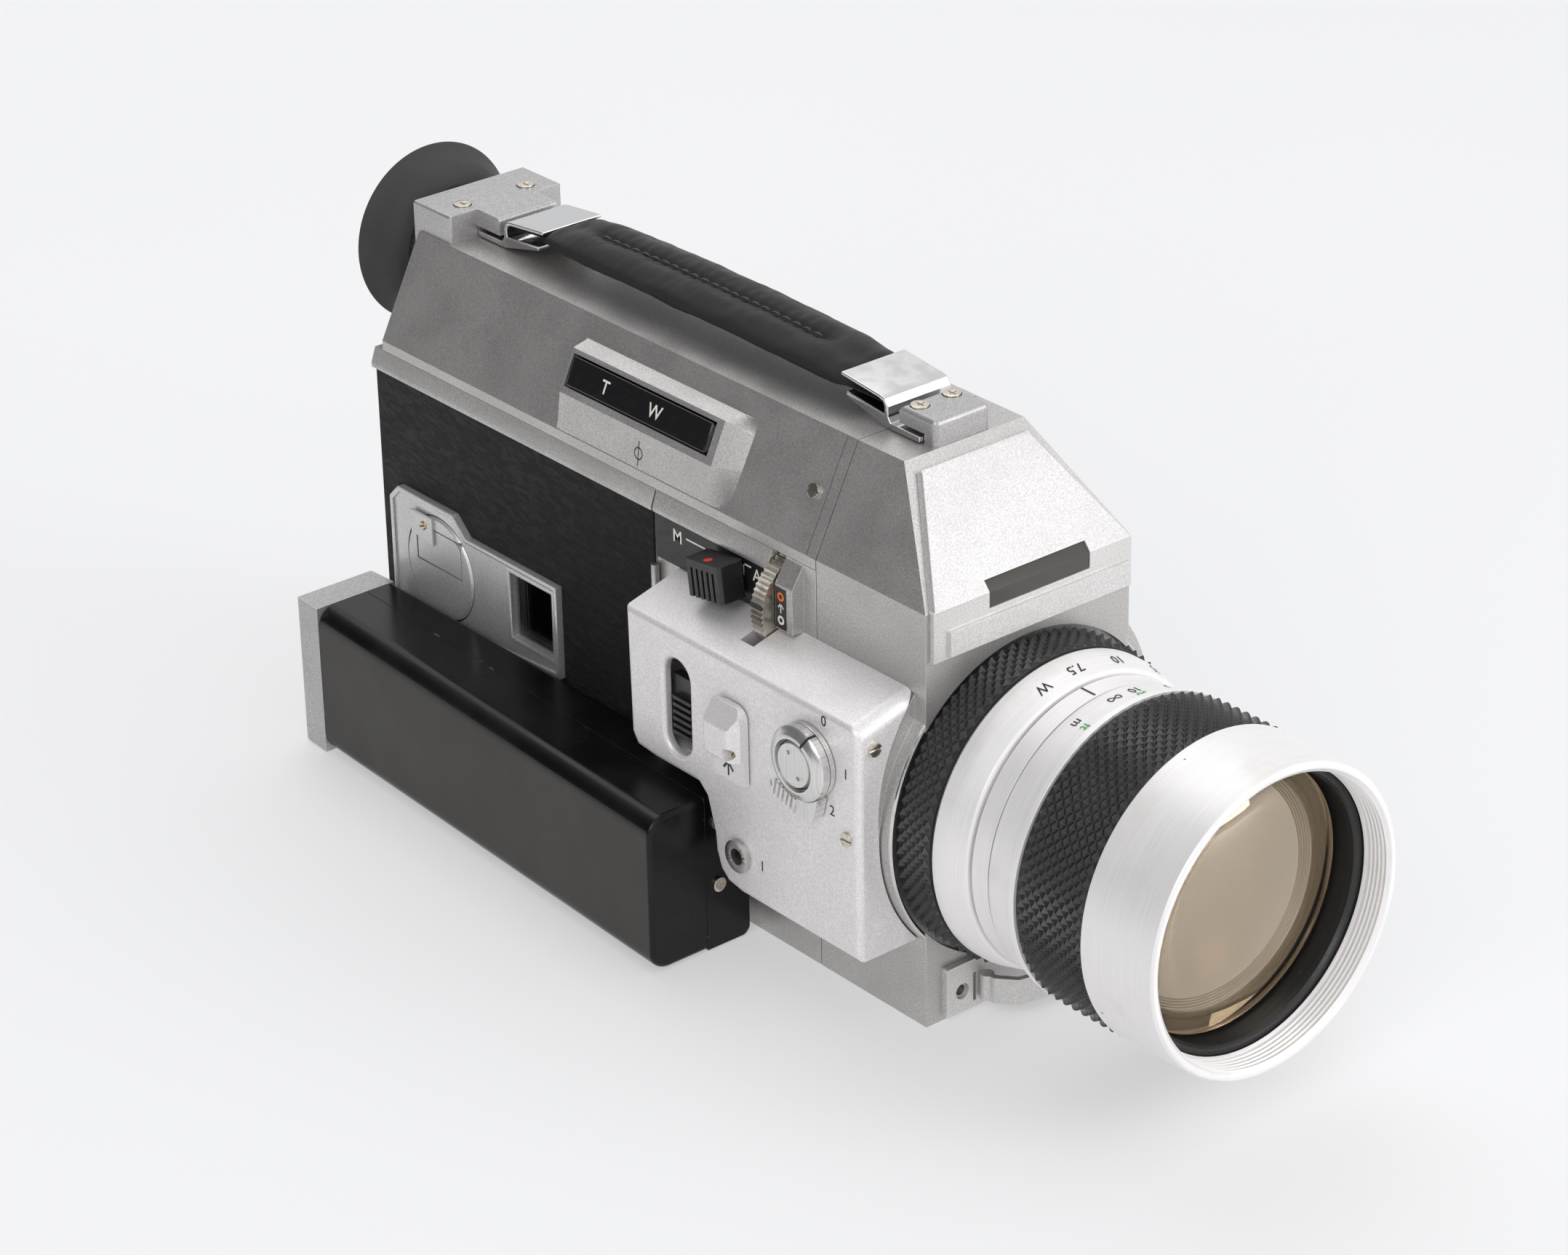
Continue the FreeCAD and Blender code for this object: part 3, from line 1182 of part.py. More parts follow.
def release_socket():
    """Threaded bush for a cable release, set through the front wall."""
    tube = cylinder("release_tube", 1.75, 3.6, (D.front_x - 2.9, RELEASE_Y, RELEASE_Z), "x")
    return cut("release_socket", tube,
               cylinder("release_thread", 1.2, 3, (D.front_x - 2.0, RELEASE_Y, RELEASE_Z), "x"))


def trigger_lever():
    """Curved finger lever of bent strip."""
    outer = [(1.9, -14.4), (5.6, -13.9), (9.4, -10.6), (11.0, -4.0), (11.0, 2.0), (9.6, 7.4), (6.6, 10.4)]
    inner = [(6.2, 8.9), (8.4, 6.8), (9.7, 1.8), (9.7, -3.8), (8.3, -9.8), (5.0, -12.6), (1.9, -13.1)]
    points = [(D.front_x + forward, y) for forward, y in outer + inner]
    band = plate("trigger_band", "XY", points, TRIGGER_Z, 5.9)
    return fuse("trigger_lever", band,
                cylinder("trigger_pivot", 1.5, 5.9, (D.front_x + 3.0, -13.5, TRIGGER_Z)))


def zoom_rocker():
    """Black rocking key in the tilted recess."""
    blank = rocker_prism("rocker_blank", 0, 3.6)
    place(blank, rocker_corner(0, -3.2), Rotation(X, RECESS_TILT))
    return rounded("zoom_rocker", blank, 0.8, lambda edge: edge.Length < 8)


SUB_PARTS = [
    body_casting, chamber_casting, left_cover, left_leatherette, tripod_socket, top_housing, front_housing,
    front_plate, meter_window, label_band, film_door, door_leatherette, door_trim, film_window,
    door_hinge_pin, door_latch, latch_flap, side_panel, speed_slider, slide_button, mode_dial,
    dial_lever, exposure_knob, aperture_wheel, remote_jack, case_screws, lens_barrel, zoom_ring,
    zoom_grip, focus_ring, focus_grip, front_band, retaining_ring, front_lens, variator_cell,
    compensator_cell, relay_lens, film_gate, drive_gear, motor_pinion, shutter_disc, drive_motor,
    drive_spindle, viewfinder_tube, diopter_ring, eyecup, strap_brackets,
    strap_clips, carry_strap, grip_shell, grip_cover, battery_cap, batteries, grip_screws,
    grip_hinge_block, grip_hinge_pin, trigger_plate, release_socket, trigger_lever, zoom_rocker,
]


def export(sub_parts):
    """Checks every object, then writes one file per sub-part."""
    doc.recompute()
    broken = [item.Name for item in doc.Objects if {"Invalid", "Error"} & set(item.State)]
    if broken:
        raise RuntimeError("failed objects: " + ", ".join(broken))
    os.makedirs("parts", exist_ok=True)
    for name, thing in sub_parts.items():
        shape = thing.Shape
        if shape.isNull() or not shape.isValid():
            raise RuntimeError(f"{name}: bad shape")
        thing.Label = name
        shape.exportStep(os.path.join("parts", name + ".step"))
        bounds = shape.BoundBox
        print(f"{name:18s} solids {len(shape.Solids):2d} volume {shape.Volume:10.1f} "
              f"x {bounds.XMin:7.1f} {bounds.XMax:7.1f} y {bounds.YMin:6.1f} {bounds.YMax:6.1f} "
              f"z {bounds.ZMin:6.1f} {bounds.ZMax:6.1f}")


def main():
    export({builder.__name__: builder() for builder in SUB_PARTS})


main()
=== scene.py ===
"""Looks of the cine camera: materials, knurled grips, strap, markings, light and camera."""
import math
import random

import bpy
from mathutils import Matrix, Vector, noise


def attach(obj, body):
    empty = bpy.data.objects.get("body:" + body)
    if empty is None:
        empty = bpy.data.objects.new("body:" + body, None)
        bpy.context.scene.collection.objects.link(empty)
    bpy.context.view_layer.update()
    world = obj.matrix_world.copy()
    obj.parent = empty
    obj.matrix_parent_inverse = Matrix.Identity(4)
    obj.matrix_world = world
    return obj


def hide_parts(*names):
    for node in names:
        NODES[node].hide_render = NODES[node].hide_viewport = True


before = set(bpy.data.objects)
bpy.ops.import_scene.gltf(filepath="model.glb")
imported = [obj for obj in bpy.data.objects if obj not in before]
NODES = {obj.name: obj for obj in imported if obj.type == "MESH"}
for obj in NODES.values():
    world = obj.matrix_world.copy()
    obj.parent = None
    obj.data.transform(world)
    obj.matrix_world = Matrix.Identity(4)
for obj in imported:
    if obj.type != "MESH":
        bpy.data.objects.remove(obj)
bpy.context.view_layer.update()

# Points, sizes and radii are in millimetres in the frame's axes; MM turns them into metres.
MM = 0.001
LENS_Z = 44.7
FORWARD, UPWARD, RIGHTWARD = (1, 0, 0), (0, 0, 1), (0, -1, 0)


# ---------------------------------------------------------------- materials

class Look:
    """A Principled material and short ways to wire its texture nodes."""

    def __init__(self, name, base, metallic=0.0, rough=0.5, **sockets):
        self.material = bpy.data.materials.new(name)
        self.material.use_nodes = True
        self.tree = self.material.node_tree
        self.shader = self.tree.nodes["Principled BSDF"]
        self.shader.inputs["Base Color"].default_value = (*base, 1)
        self.shader.inputs["Metallic"].default_value = metallic
        self.shader.inputs["Roughness"].default_value = rough
        for socket, number in sockets.items():
            self.shader.inputs[socket.replace("_", " ")].default_value = number
        self.place = self.node("ShaderNodeTexCoord").outputs["Object"]
        self.normal = None

    def node(self, kind, **settings):
        made = self.tree.nodes.new(kind)
        for name, value in settings.items():
            setattr(made, name, value)
        return made

    def wire(self, source, target):
        """Links an output to a socket, or sets the socket to a number or a colour."""
        if isinstance(source, (int, float)):
            target.default_value = source
        elif isinstance(source, tuple):
            target.default_value = (*source, 1)
        else:
            self.tree.links.new(source, target)

    def mapped(self, stretch, turn=(0, 0, 0)):
        """Object coordinates turned, then stretched."""
        where = self.place
        if any(turn):
            rotate = self.node("ShaderNodeVectorRotate", rotation_type="EULER_XYZ")
            rotate.inputs["Rotation"].default_value = turn
            self.wire(where, rotate.inputs["Vector"])
            where = rotate.outputs["Vector"]
        mapping = self.node("ShaderNodeMapping")
        mapping.inputs["Scale"].default_value = stretch
        self.wire(where, mapping.inputs["Vector"])
        return mapping.outputs["Vector"]

    def noise(self, scale, detail=3.0, rough=0.55, stretch=(1, 1, 1), turn=(0, 0, 0), distortion=0.0):
        made = self.node("ShaderNodeTexNoise")
        made.inputs["Scale"].default_value = scale
        made.inputs["Detail"].default_value = detail
        made.inputs["Roughness"].default_value = rough
        made.inputs["Distortion"].default_value = distortion
        self.wire(self.mapped(stretch, turn), made.inputs["Vector"])
        return made.outputs["Fac"]

    def cells(self, scale, warp):
        """Distance to the middle of the nearest cell, in a grid bent by the warp."""
        made = self.node("ShaderNodeTexVoronoi")
        made.inputs["Scale"].default_value = scale
        shift = self.node("ShaderNodeTexNoise")
        shift.inputs["Scale"].default_value = scale * 0.6
        self.wire(self.place, shift.inputs["Vector"])
        bend = self.node("ShaderNodeVectorMath", operation="MULTIPLY_ADD")
        self.wire(shift.outputs["Color"], bend.inputs[0])
        bend.inputs[1].default_value = (warp, warp, warp)
        self.wire(self.place, bend.inputs[2])
        self.wire(bend.outputs["Vector"], made.inputs["Vector"])
        return made.outputs["Distance"]

    def ramp(self, value, low, high, start=0.0, end=1.0):
        """Smooth step from start to end while the value goes from low to high."""
        made = self.node("ShaderNodeMapRange", interpolation_type="SMOOTHSTEP")
        for socket, number in (("From Min", low), ("From Max", high), ("To Min", start), ("To Max", end)):
            made.inputs[socket].default_value = number
        self.wire(value, made.inputs["Value"])
        return made.outputs["Result"]

    def combine(self, operation, first, second):
        """Result of a Math node's operation on two outputs or numbers."""
        made = self.node("ShaderNodeMath", operation=operation)
        self.wire(first, made.inputs[0])
        self.wire(second, made.inputs[1])
        return made.outputs["Value"]

    def times(self, first, second):
        return self.combine("MULTIPLY", first, second)

    def mix(self, factor, first, second):
        """The first colour at factor 0, the second at factor 1."""
        made = self.node("ShaderNodeMix", data_type="RGBA")
        self.wire(factor, made.inputs["Factor"])
        self.wire(first, made.inputs["A"])
        self.wire(second, made.inputs["B"])
        return made.outputs["Result"]

    def bump(self, height, depth_mm, strength=1.0):
        """Adds relief on top of the relief wired so far."""
        made = self.node("ShaderNodeBump")
        made.inputs["Distance"].default_value = depth_mm * MM
        made.inputs["Strength"].default_value = strength
        self.wire(height, made.inputs["Height"])
        if self.normal is not None:
            self.wire(self.normal, made.inputs["Normal"])
        self.normal = made.outputs["Normal"]
        self.wire(self.normal, self.shader.inputs["Normal"])

    def edges(self, radius_mm, low=0.02, high=0.25):
        """1 on edges and in corners, 0 on flat ground."""
        bevel = self.node("ShaderNodeBevel", samples=4)
        bevel.inputs["Radius"].default_value = radius_mm * MM
        ground = self.node("ShaderNodeNewGeometry").outputs["True Normal"]
        dot = self.node("ShaderNodeVectorMath", operation="DOT_PRODUCT")
        self.wire(bevel.outputs["Normal"], dot.inputs[0])
        self.wire(ground, dot.inputs[1])
        return self.ramp(self.combine("SUBTRACT", 1.0, dot.outputs["Value"]), low, high)

    def colour(self, source):
        self.wire(source, self.shader.inputs["Base Color"])

    def rough(self, source):
        self.wire(source, self.shader.inputs["Roughness"])

    def metal(self, source):
        self.wire(source, self.shader.inputs["Metallic"])


def scaled(tone, share):
    """A colour with each part multiplied by a share."""
    return tuple(share * value for value in tone)


def satin_paint(name, low, high, rough=0.40, pits=True, metallic=0.62):
    """Fine-grained silver paint on a casting, rubbed bright at its edges."""
    look = Look(name, low, metallic=metallic, rough=rough)
    grain = look.noise(2900, detail=2.0)
    cloud = look.noise(45, detail=4.0)
    tone = look.mix(look.ramp(grain, 0.33, 0.67), scaled(low, 0.9), high)
    tone = look.mix(look.ramp(cloud, 0.35, 0.75, 0, 0.35), tone, scaled(low, 0.86))
    rub = look.times(look.edges(0.4), look.ramp(look.noise(160, detail=5.0), 0.35, 0.6, 0.35, 1.0))
    tone = look.mix(look.times(rub, 0.6), tone, (0.84, 0.83, 0.81))
    if pits:
        spots = look.ramp(look.cells(330, warp=0.25), 0.02, 0.055, 1, 0)
        sparse = look.ramp(look.noise(60, detail=2.0), 0.60, 0.64)
        dirt = look.times(spots, sparse)
        tone = look.mix(look.times(dirt, 0.75), tone, (0.10, 0.085, 0.075))
        look.bump(dirt, -0.02)
    look.colour(tone)
    look.rough(look.ramp(look.noise(90, detail=4.0), 0.3, 0.7, rough - 0.04, rough + 0.05))
    look.bump(grain, 0.006, 0.5)
    return look.material


def turned_alloy(name, low, high, rough=0.30, metallic=0.86):
    """Satin metal with fine turning lines round the X axis."""
    look = Look(name, low, metallic=metallic, rough=rough)
    lines = look.noise(1.0, detail=2.0, stretch=(9000, 60, 60))
    smudge = look.noise(70, detail=4.0)
    tone = look.mix(look.ramp(lines, 0.35, 0.65), low, high)
    tone = look.mix(look.ramp(smudge, 0.55, 0.75, 0, 0.22), tone, (0.62, 0.57, 0.50))
    rub = look.times(look.edges(0.35), 0.5)
    look.colour(look.mix(rub, tone, (0.93, 0.92, 0.90)))
    look.rough(look.ramp(smudge, 0.3, 0.7, rough - 0.05, rough + 0.08))
    look.bump(lines, 0.004, 0.5)
    return look.material


def plated(name, tint, rough=0.09):
    """Bright plating with hairline scratches and a little dulling."""
    look = Look(name, tint, metallic=1.0, rough=rough)
    hair = look.noise(1.0, detail=3.0, stretch=(300, 5200, 5200), turn=(0, 0.3, 0.5))
    dull = look.noise(220, detail=5.0)
    look.colour(look.mix(look.ramp(dull, 0.55, 0.8, 0, 0.4), tint, scaled(tint, 0.62)))
    look.rough(look.ramp(dull, 0.35, 0.8, rough, rough + 0.22))
    look.bump(hair, 0.002, 0.35)
    return look.material


def bare_steel(name, tint=(0.52, 0.51, 0.49), rough=0.34):
    """Brushed unplated steel with brown stains."""
    look = Look(name, tint, metallic=1.0, rough=rough)
    brush = look.noise(1.0, detail=3.0, stretch=(400, 400, 5200))
    stain = look.noise(320, detail=4.0)
    tone = look.mix(look.ramp(stain, 0.5, 0.72, 0, 0.5), tint, (0.25, 0.21, 0.16))
    look.colour(look.mix(look.ramp(brush, 0.3, 0.7, 0, 0.25), tone, (0.72, 0.71, 0.69)))
    look.rough(look.ramp(stain, 0.3, 0.7, rough - 0.08, rough + 0.12))
    look.bump(brush, 0.004, 0.5)
    return look.material


def leatherette(name):
    """Black grained covering with slanting creases."""
    look = Look(name, (0.010, 0.010, 0.010), rough=0.48, Specular_IOR_Level=0.30)
    turn = (0, math.radians(-8), 0)
    creases = look.noise(1.0, detail=3.0, stretch=(240, 300, 760), turn=turn, distortion=1.1)
    hollows = look.noise(1.0, detail=2.0, stretch=(130, 200, 430), turn=turn, distortion=1.3)
    deep = look.ramp(hollows, 0.52, 0.60)
    pebble = look.cells(1300, warp=0.5)
    height = look.combine("ADD", look.times(look.ramp(pebble, 0.05, 0.7), 0.30),
                          look.times(look.ramp(creases, 0.32, 0.62), 0.9))
    height = look.combine("SUBTRACT", height, look.times(deep, 0.5))
    dust = look.ramp(creases, 0.48, 0.66, 0, 0.6)
    look.colour(look.mix(dust, (0.005, 0.005, 0.005), (0.016, 0.0157, 0.0153)))
    look.rough(look.ramp(creases, 0.35, 0.65, 0.58, 0.46))
    look.bump(height, 0.12, 1.0)
    return look.material


def strap_leather(name):
    """Black leather with fine pores and folds, worn brown on its edges."""
    look = Look(name, (0.012, 0.011, 0.010), rough=0.40, Specular_IOR_Level=0.36)
    grain = look.cells(1500, warp=0.7)
    folds = look.noise(1.0, detail=4.0, stretch=(260, 90, 160), distortion=0.8)
    rubbed = look.times(look.ramp(look.noise(120, detail=5.0), 0.45, 0.7), look.edges(1.5, 0.01, 0.2))
    tone = look.mix(look.ramp(folds, 0.4, 0.75, 0, 0.6), (0.005, 0.0048, 0.0048), (0.020, 0.017, 0.016))
    look.colour(look.mix(look.times(rubbed, 0.5), tone, (0.085, 0.066, 0.052)))
    look.rough(look.ramp(folds, 0.3, 0.7, 0.33, 0.52))
    look.bump(look.ramp(grain, 0.0, 0.7), 0.05, 0.6)
    look.bump(folds, 0.18, 0.5)
    return look.material


def grip_paint(name):
    """Black enamel, glossy on top, grained on the outer face with a painted grey floor reflection, chipped
    to metal at edges.
    """
    look = Look(name, (0.012, 0.012, 0.013), rough=0.25, Specular_IOR_Level=0.3)
    split = look.node("ShaderNodeSeparateXYZ")
    turned = look.node("ShaderNodeVectorTransform", vector_type="NORMAL", convert_from="WORLD",
                       convert_to="OBJECT")
    look.wire(look.node("ShaderNodeNewGeometry").outputs["True Normal"], turned.inputs["Vector"])
    look.wire(turned.outputs["Vector"], split.inputs["Vector"])
    # side is 1 on faces that point to the right side: it roughens and grains the outer face, and paints the
    # floor's reflection on it
    side = look.ramp(look.times(split.outputs["Y"], -1.0), 0.90, 0.985)
    peel = look.noise(1150, detail=2.0)
    cloud = look.noise(40, detail=4.0)
    # The grey of the outer face is a painted floor reflection; the top keeps the black of the enamel.
    tone = look.mix(side, (0.003, 0.003, 0.0032), (0.046, 0.043, 0.040))
    tone = look.mix(look.ramp(cloud, 0.45, 0.8, 0, 0.15), tone, (0.045, 0.043, 0.041))
    flakes = look.ramp(look.noise(260, detail=6.0, rough=0.7), 0.60, 0.63)
    chips = look.times(look.edges(0.55, 0.03, 0.12), flakes)
    spots = look.times(look.ramp(look.cells(260, warp=0.3), 0.03, 0.06, 1, 0),
                       look.ramp(look.noise(70, detail=2.0), 0.63, 0.67))
    bare = look.combine("MAXIMUM", chips, look.times(spots, 0.6))
    look.colour(look.mix(bare, tone, (0.52, 0.50, 0.47)))
    look.metal(look.times(bare, 0.9))
    top_rough = look.ramp(cloud, 0.3, 0.7, 0.20, 0.30)
    look.rough(look.combine("ADD", look.times(side, 0.26), top_rough))
    side_peel = look.combine("ADD", look.times(side, 0.9), 0.1)
    look.bump(look.times(peel, side_peel), 0.05, 0.7)
    look.bump(bare, -0.03, 0.8)
    return look.material


def black_gloss(name, rough=0.14, tone=(0.008, 0.008, 0.009)):
    """Black enamel or plastic with light scuffs and dust."""
    look = Look(name, tone, rough=rough, Specular_IOR_Level=0.6)
    scuffs = look.noise(1.0, detail=4.0, stretch=(350, 1800, 1800), turn=(0.4, 0.2, 0.1))
    dust = look.ramp(look.noise(900, detail=4.0), 0.66, 0.74)
    rub = look.times(look.edges(0.35), 0.35)
    shade = look.mix(look.times(dust, 0.25), tone, (0.12, 0.11, 0.10))
    look.colour(look.mix(rub, shade, (0.06, 0.058, 0.056)))
    look.rough(look.ramp(scuffs, 0.4, 0.75, rough, rough + 0.14))
    look.bump(scuffs, 0.004, 0.4)
    return look.material


def rubber(name, tone=(0.021, 0.020, 0.018), rough=0.55, rub_tone=(0.09, 0.085, 0.08)):
    """Matt rubber with fine grain, and dust where it stands proud."""
    look = Look(name, tone, rough=rough, Specular_IOR_Level=0.45)
    grain = look.noise(2400, detail=3.0)
    bloom = look.noise(130, detail=5.0)
    rub = look.times(look.edges(0.3, 0.02, 0.3), look.ramp(bloom, 0.35, 0.6, 0.2, 0.9))
    shade = look.mix(look.ramp(bloom, 0.4, 0.8, 0, 0.5), tone, scaled(tone, 2.1))
    look.colour(look.mix(look.times(rub, 0.55), shade, rub_tone))
    look.rough(look.ramp(bloom, 0.3, 0.7, rough - 0.08, rough + 0.1))
    look.bump(grain, 0.02, 0.5)
    return look.material


def coated_glass(name, tint, rough=0.01, ior=1.55, dust=0.05, mirror=0.0):
    """Clear glass; mirror is the share of light its coating throws back in the tint."""
    look = Look(name, tint, rough=rough, metallic=mirror, IOR=ior)
    look.shader.inputs["Transmission Weight"].default_value = 1.0
    haze = look.ramp(look.noise(40, detail=5.0), 0.5, 0.9, rough, rough + dust)
    look.rough(haze)
    specks = look.ramp(look.cells(420, warp=0.4), 0.015, 0.03, 1, 0)
    look.colour(look.mix(look.times(specks, 0.3), tint, (0.8, 0.75, 0.7)))
    return look.material


def brass(name, tint=(0.62, 0.50, 0.28), rough=0.3):
    """Brass with patches of tarnish."""
    look = Look(name, tint, metallic=1.0, rough=rough)
    tarnish = look.noise(240, detail=5.0)
    look.colour(look.mix(look.ramp(tarnish, 0.4, 0.7), tint, scaled(tint, 0.6)))
    look.rough(look.ramp(tarnish, 0.3, 0.7, rough, rough + 0.15))
    look.bump(look.noise(1500), 0.006, 0.4)
    return look.material


def painted_mark(name, tone, rough=0.5):
    """Paint of printed marks and of painted shade in seams and grooves, worn a little paler in spots."""
    look = Look(name, tone, rough=rough)
    worn = look.noise(1600, detail=4.0)
    faded = tuple(0.65 * value + 0.05 for value in tone)
    look.colour(look.mix(look.ramp(worn, 0.5, 0.8, 0, 0.35), tone, faded))
    look.bump(worn, 0.004, 0.4)
    return look.material


PAINT = satin_paint("satin_silver", (0.66, 0.640, 0.632), (0.79, 0.770, 0.762), rough=0.44)
PANEL_PAINT = satin_paint("panel_silver", (0.79, 0.765, 0.765), (0.89, 0.865, 0.865), rough=0.44,
                          metallic=0.42)
DARK_PAINT = satin_paint("satin_grey", (0.49, 0.474, 0.462), (0.61, 0.592, 0.580), metallic=0.80)
TRIM = satin_paint("trim_silver", (0.62, 0.61, 0.60), (0.74, 0.73, 0.72), rough=0.33, pits=False)
CAP = satin_paint("cap_silver", (0.42, 0.408, 0.408), (0.54, 0.525, 0.525))
ALLOY = turned_alloy("ring_alloy", (0.82, 0.80, 0.795), (0.89, 0.87, 0.865), rough=0.42, metallic=0.30)
DIAL = turned_alloy("dial_alloy", (0.62, 0.61, 0.60), (0.76, 0.75, 0.74), rough=0.22)
CHROME = plated("chrome_plate", (0.66, 0.655, 0.65))
STEEL = bare_steel("bare_steel")
SCREW = plated("screw_plate", (0.66, 0.62, 0.54), rough=0.2)
WHEEL = bare_steel("wheel_nickel", (0.58, 0.54, 0.46), rough=0.3)
COVERING = leatherette("black_covering")
STRAP = strap_leather("strap_leather")
GRIP = grip_paint("grip_enamel")
GLOSS = black_gloss("black_gloss")
SATIN_BLACK = black_gloss("satin_black", rough=0.34, tone=(0.012, 0.012, 0.012))
LABEL = black_gloss("label_black", rough=0.38, tone=(0.010, 0.010, 0.010))
KNURL = rubber("knurl_rubber", (0.022, 0.021, 0.020), rough=0.34, rub_tone=(0.13, 0.12, 0.115))
CUP = rubber("cup_rubber", (0.030, 0.029, 0.028), rough=0.62)
LENS = coated_glass("coated_lens", (0.94, 0.80, 0.62), mirror=0.22, dust=0.0)
INNER_GLASS = coated_glass("inner_glass", (0.96, 0.84, 0.62), mirror=0.45, dust=0.0)
CLEAR = coated_glass("clear_plastic", (0.30, 0.32, 0.30), rough=0.03, ior=1.46, dust=0.08)
SMOKED = black_gloss("smoked_window", rough=0.10, tone=(0.050, 0.046, 0.038))
BRASS = brass("brass")
JACKET = satin_paint("cell_jacket", (0.16, 0.20, 0.26), (0.22, 0.27, 0.34))
# Black paint of the printed marks, also laid as painted shade in the dial's groove.
BLACK_PRINT_AND_SHADE = painted_mark("black_print_and_shade", (0.015, 0.015, 0.015))
WHITE_MARK = painted_mark("white_mark", (0.80, 0.78, 0.72))
GREEN_MARK = painted_mark("green_mark", (0.06, 0.42, 0.09))
ORANGE_MARK = painted_mark("orange_mark", (0.80, 0.17, 0.04))
RED_MARK = painted_mark("red_mark", (0.75, 0.03, 0.015), rough=0.3)
# Dark paint laid along seams and edges as painted shade.
SEAM_SHADE = painted_mark("seam_shadow", (0.10, 0.098, 0.095), rough=0.7)
THREAD = painted_mark("waxed_thread", (0.075, 0.062, 0.052))

# The material of each CAD node.
LOOKS = {
    PAINT: "front_plate trigger_plate",
    PANEL_PAINT: "side_panel slide_button",
    DARK_PAINT: "body_casting chamber_casting left_cover top_housing front_housing film_door",
    TRIM: "door_trim door_latch latch_flap trigger_lever",
    CAP: "battery_cap strap_brackets",
    ALLOY: "zoom_ring focus_ring front_band lens_barrel",
    DIAL: "mode_dial dial_lever",
    CHROME: "strap_clips",
    STEEL: "door_hinge_pin grip_hinge_pin remote_jack drive_motor film_gate release_socket",
    SCREW: "case_screws grip_screws",
    WHEEL: "aperture_wheel",
    BRASS: "tripod_socket drive_gear motor_pinion",
    COVERING: "left_leatherette door_leatherette",
    GRIP: "grip_shell grip_cover",
    LABEL: "label_band grip_hinge_block",
    SATIN_BLACK: ("retaining_ring viewfinder_tube shutter_disc variator_cell compensator_cell"
                  " relay_lens speed_slider drive_spindle exposure_knob"),
    GLOSS: "zoom_rocker",
    CUP: "diopter_ring eyecup",
    LENS: "front_lens",
    CLEAR: "film_window",
    SMOKED: "meter_window",
    JACKET: "batteries",
    KNURL: "zoom_grip focus_grip",
    STRAP: "carry_strap",
}
# Width of the rounding on a node's edges, where it isn't SOFT_EDGE; 0 leaves them sharp.
SOFT_EDGE = 0.25
SOFT_EDGES = {"front_plate": 0.5, "side_panel": 0.6, "strap_brackets": 0.55,
              "slide_button": 0.3, "battery_cap": 0.5, "trigger_lever": 0.5,
              "mode_dial": 0.35, "dial_lever": 0.3, "grip_cover": 0.4, "top_housing": 0.22,
              "front_housing": 0.4, "zoom_rocker": 0.35, "case_screws": 0.3,
              "film_window": 0.1, "meter_window": 0.1, "release_socket": 0.1, "retaining_ring": 0.08,
              "drive_gear": 0.0, "motor_pinion": 0.0, "aperture_wheel": 0.06, "diopter_ring": 0.1,
              "remote_jack": 0.15, "zoom_ring": 0.15, "focus_ring": 0.15, "front_band": 0.15,
              "lens_barrel": 0.1, "front_lens": 0.0}
# Least angle of an edge in degrees, lower on nodes of flat facets that meet at small angles.
EDGE_ANGLE = 32
FACETED = {"top_housing": 8, "front_plate": 8, "slide_button": 14, "strap_brackets": 14,
           "front_housing": 14}
# Faces nearer the lens axis than the radius get a second material.
CELL_GLASS = {"variator_cell": 20.9, "compensator_cell": 20.9, "relay_lens": 17.4}
BLACK_BORE = {"lens_barrel": 28.5, "focus_ring": 28.5, "front_band": 30.6}


def line_bore(node, look, radius):
    """Gives the faces round the lens axis, inside a radius, their own material."""
    node.data.materials.append(look)
    reach = [math.hypot(vertex.co.y, vertex.co.z - LENS_Z * MM) / MM for vertex in node.data.vertices]
    for face in node.data.polygons:
        if max(reach[index] for index in face.vertices) < radius:
            face.material_index = 1


def dress_cad():
    """Gives each CAD node its material, soft edges and smooth shading."""
    for look, names in LOOKS.items():
        for name in names.split():
            node = NODES[name]
            node.data.materials.clear()
            node.data.materials.append(look)
            if "custom_normal" in node.data.attributes:
                node.data.attributes.remove(node.data.attributes["custom_normal"])
            node.data.polygons.foreach_set("use_smooth", [True] * len(node.data.polygons))
            weld = node.modifiers.new("weld", "WELD")
            weld.merge_threshold = 0.002 * MM
            if name in CELL_GLASS:
                line_bore(node, INNER_GLASS, CELL_GLASS[name])
            if name in BLACK_BORE:
                line_bore(node, SATIN_BLACK, BLACK_BORE[name])
            width = SOFT_EDGES.get(name, SOFT_EDGE)
            if width:
                bevel = node.modifiers.new("soft_edges", "BEVEL")
                bevel.width = width * MM
                bevel.segments = 2
                bevel.limit_method = "ANGLE"
                bevel.angle_limit = math.radians(FACETED.get(name, EDGE_ANGLE))
                even = node.modifiers.new("even_normals", "WEIGHTED_NORMAL")
                even.mode = "FACE_AREA"
                even.weight = 60
            else:
                split = node.modifiers.new("hard_edges", "EDGE_SPLIT")
                split.split_angle = math.radians(EDGE_ANGLE)


# ---------------------------------------------------------------- mesh helpers

def piece(name, points, faces, look, body, smooth=True):
    """A mesh piece from points in millimetres."""
    mesh = bpy.data.meshes.new(name)
    mesh.from_pydata([Vector(point) * MM for point in points], [], faces)
    mesh.materials.append(look)
    mesh.polygons.foreach_set("use_smooth", [smooth] * len(mesh.polygons))
    mesh.update()
    made = bpy.data.objects.new(name, mesh)
    bpy.context.scene.collection.objects.link(made)
    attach(made, body)
    return made


def on_lens(x, radius, angle):
    """A point round the lens axis; angle 0 is at the top and grows towards the right side."""
    return (x, -radius * math.sin(angle), LENS_Z + radius * math.cos(angle))


# ---------------------------------------------------------------- knurled grips

STUD_HEIGHT, STUD_WEAR, RUBBER_SKIN = 1.05, 0.045, 0.7


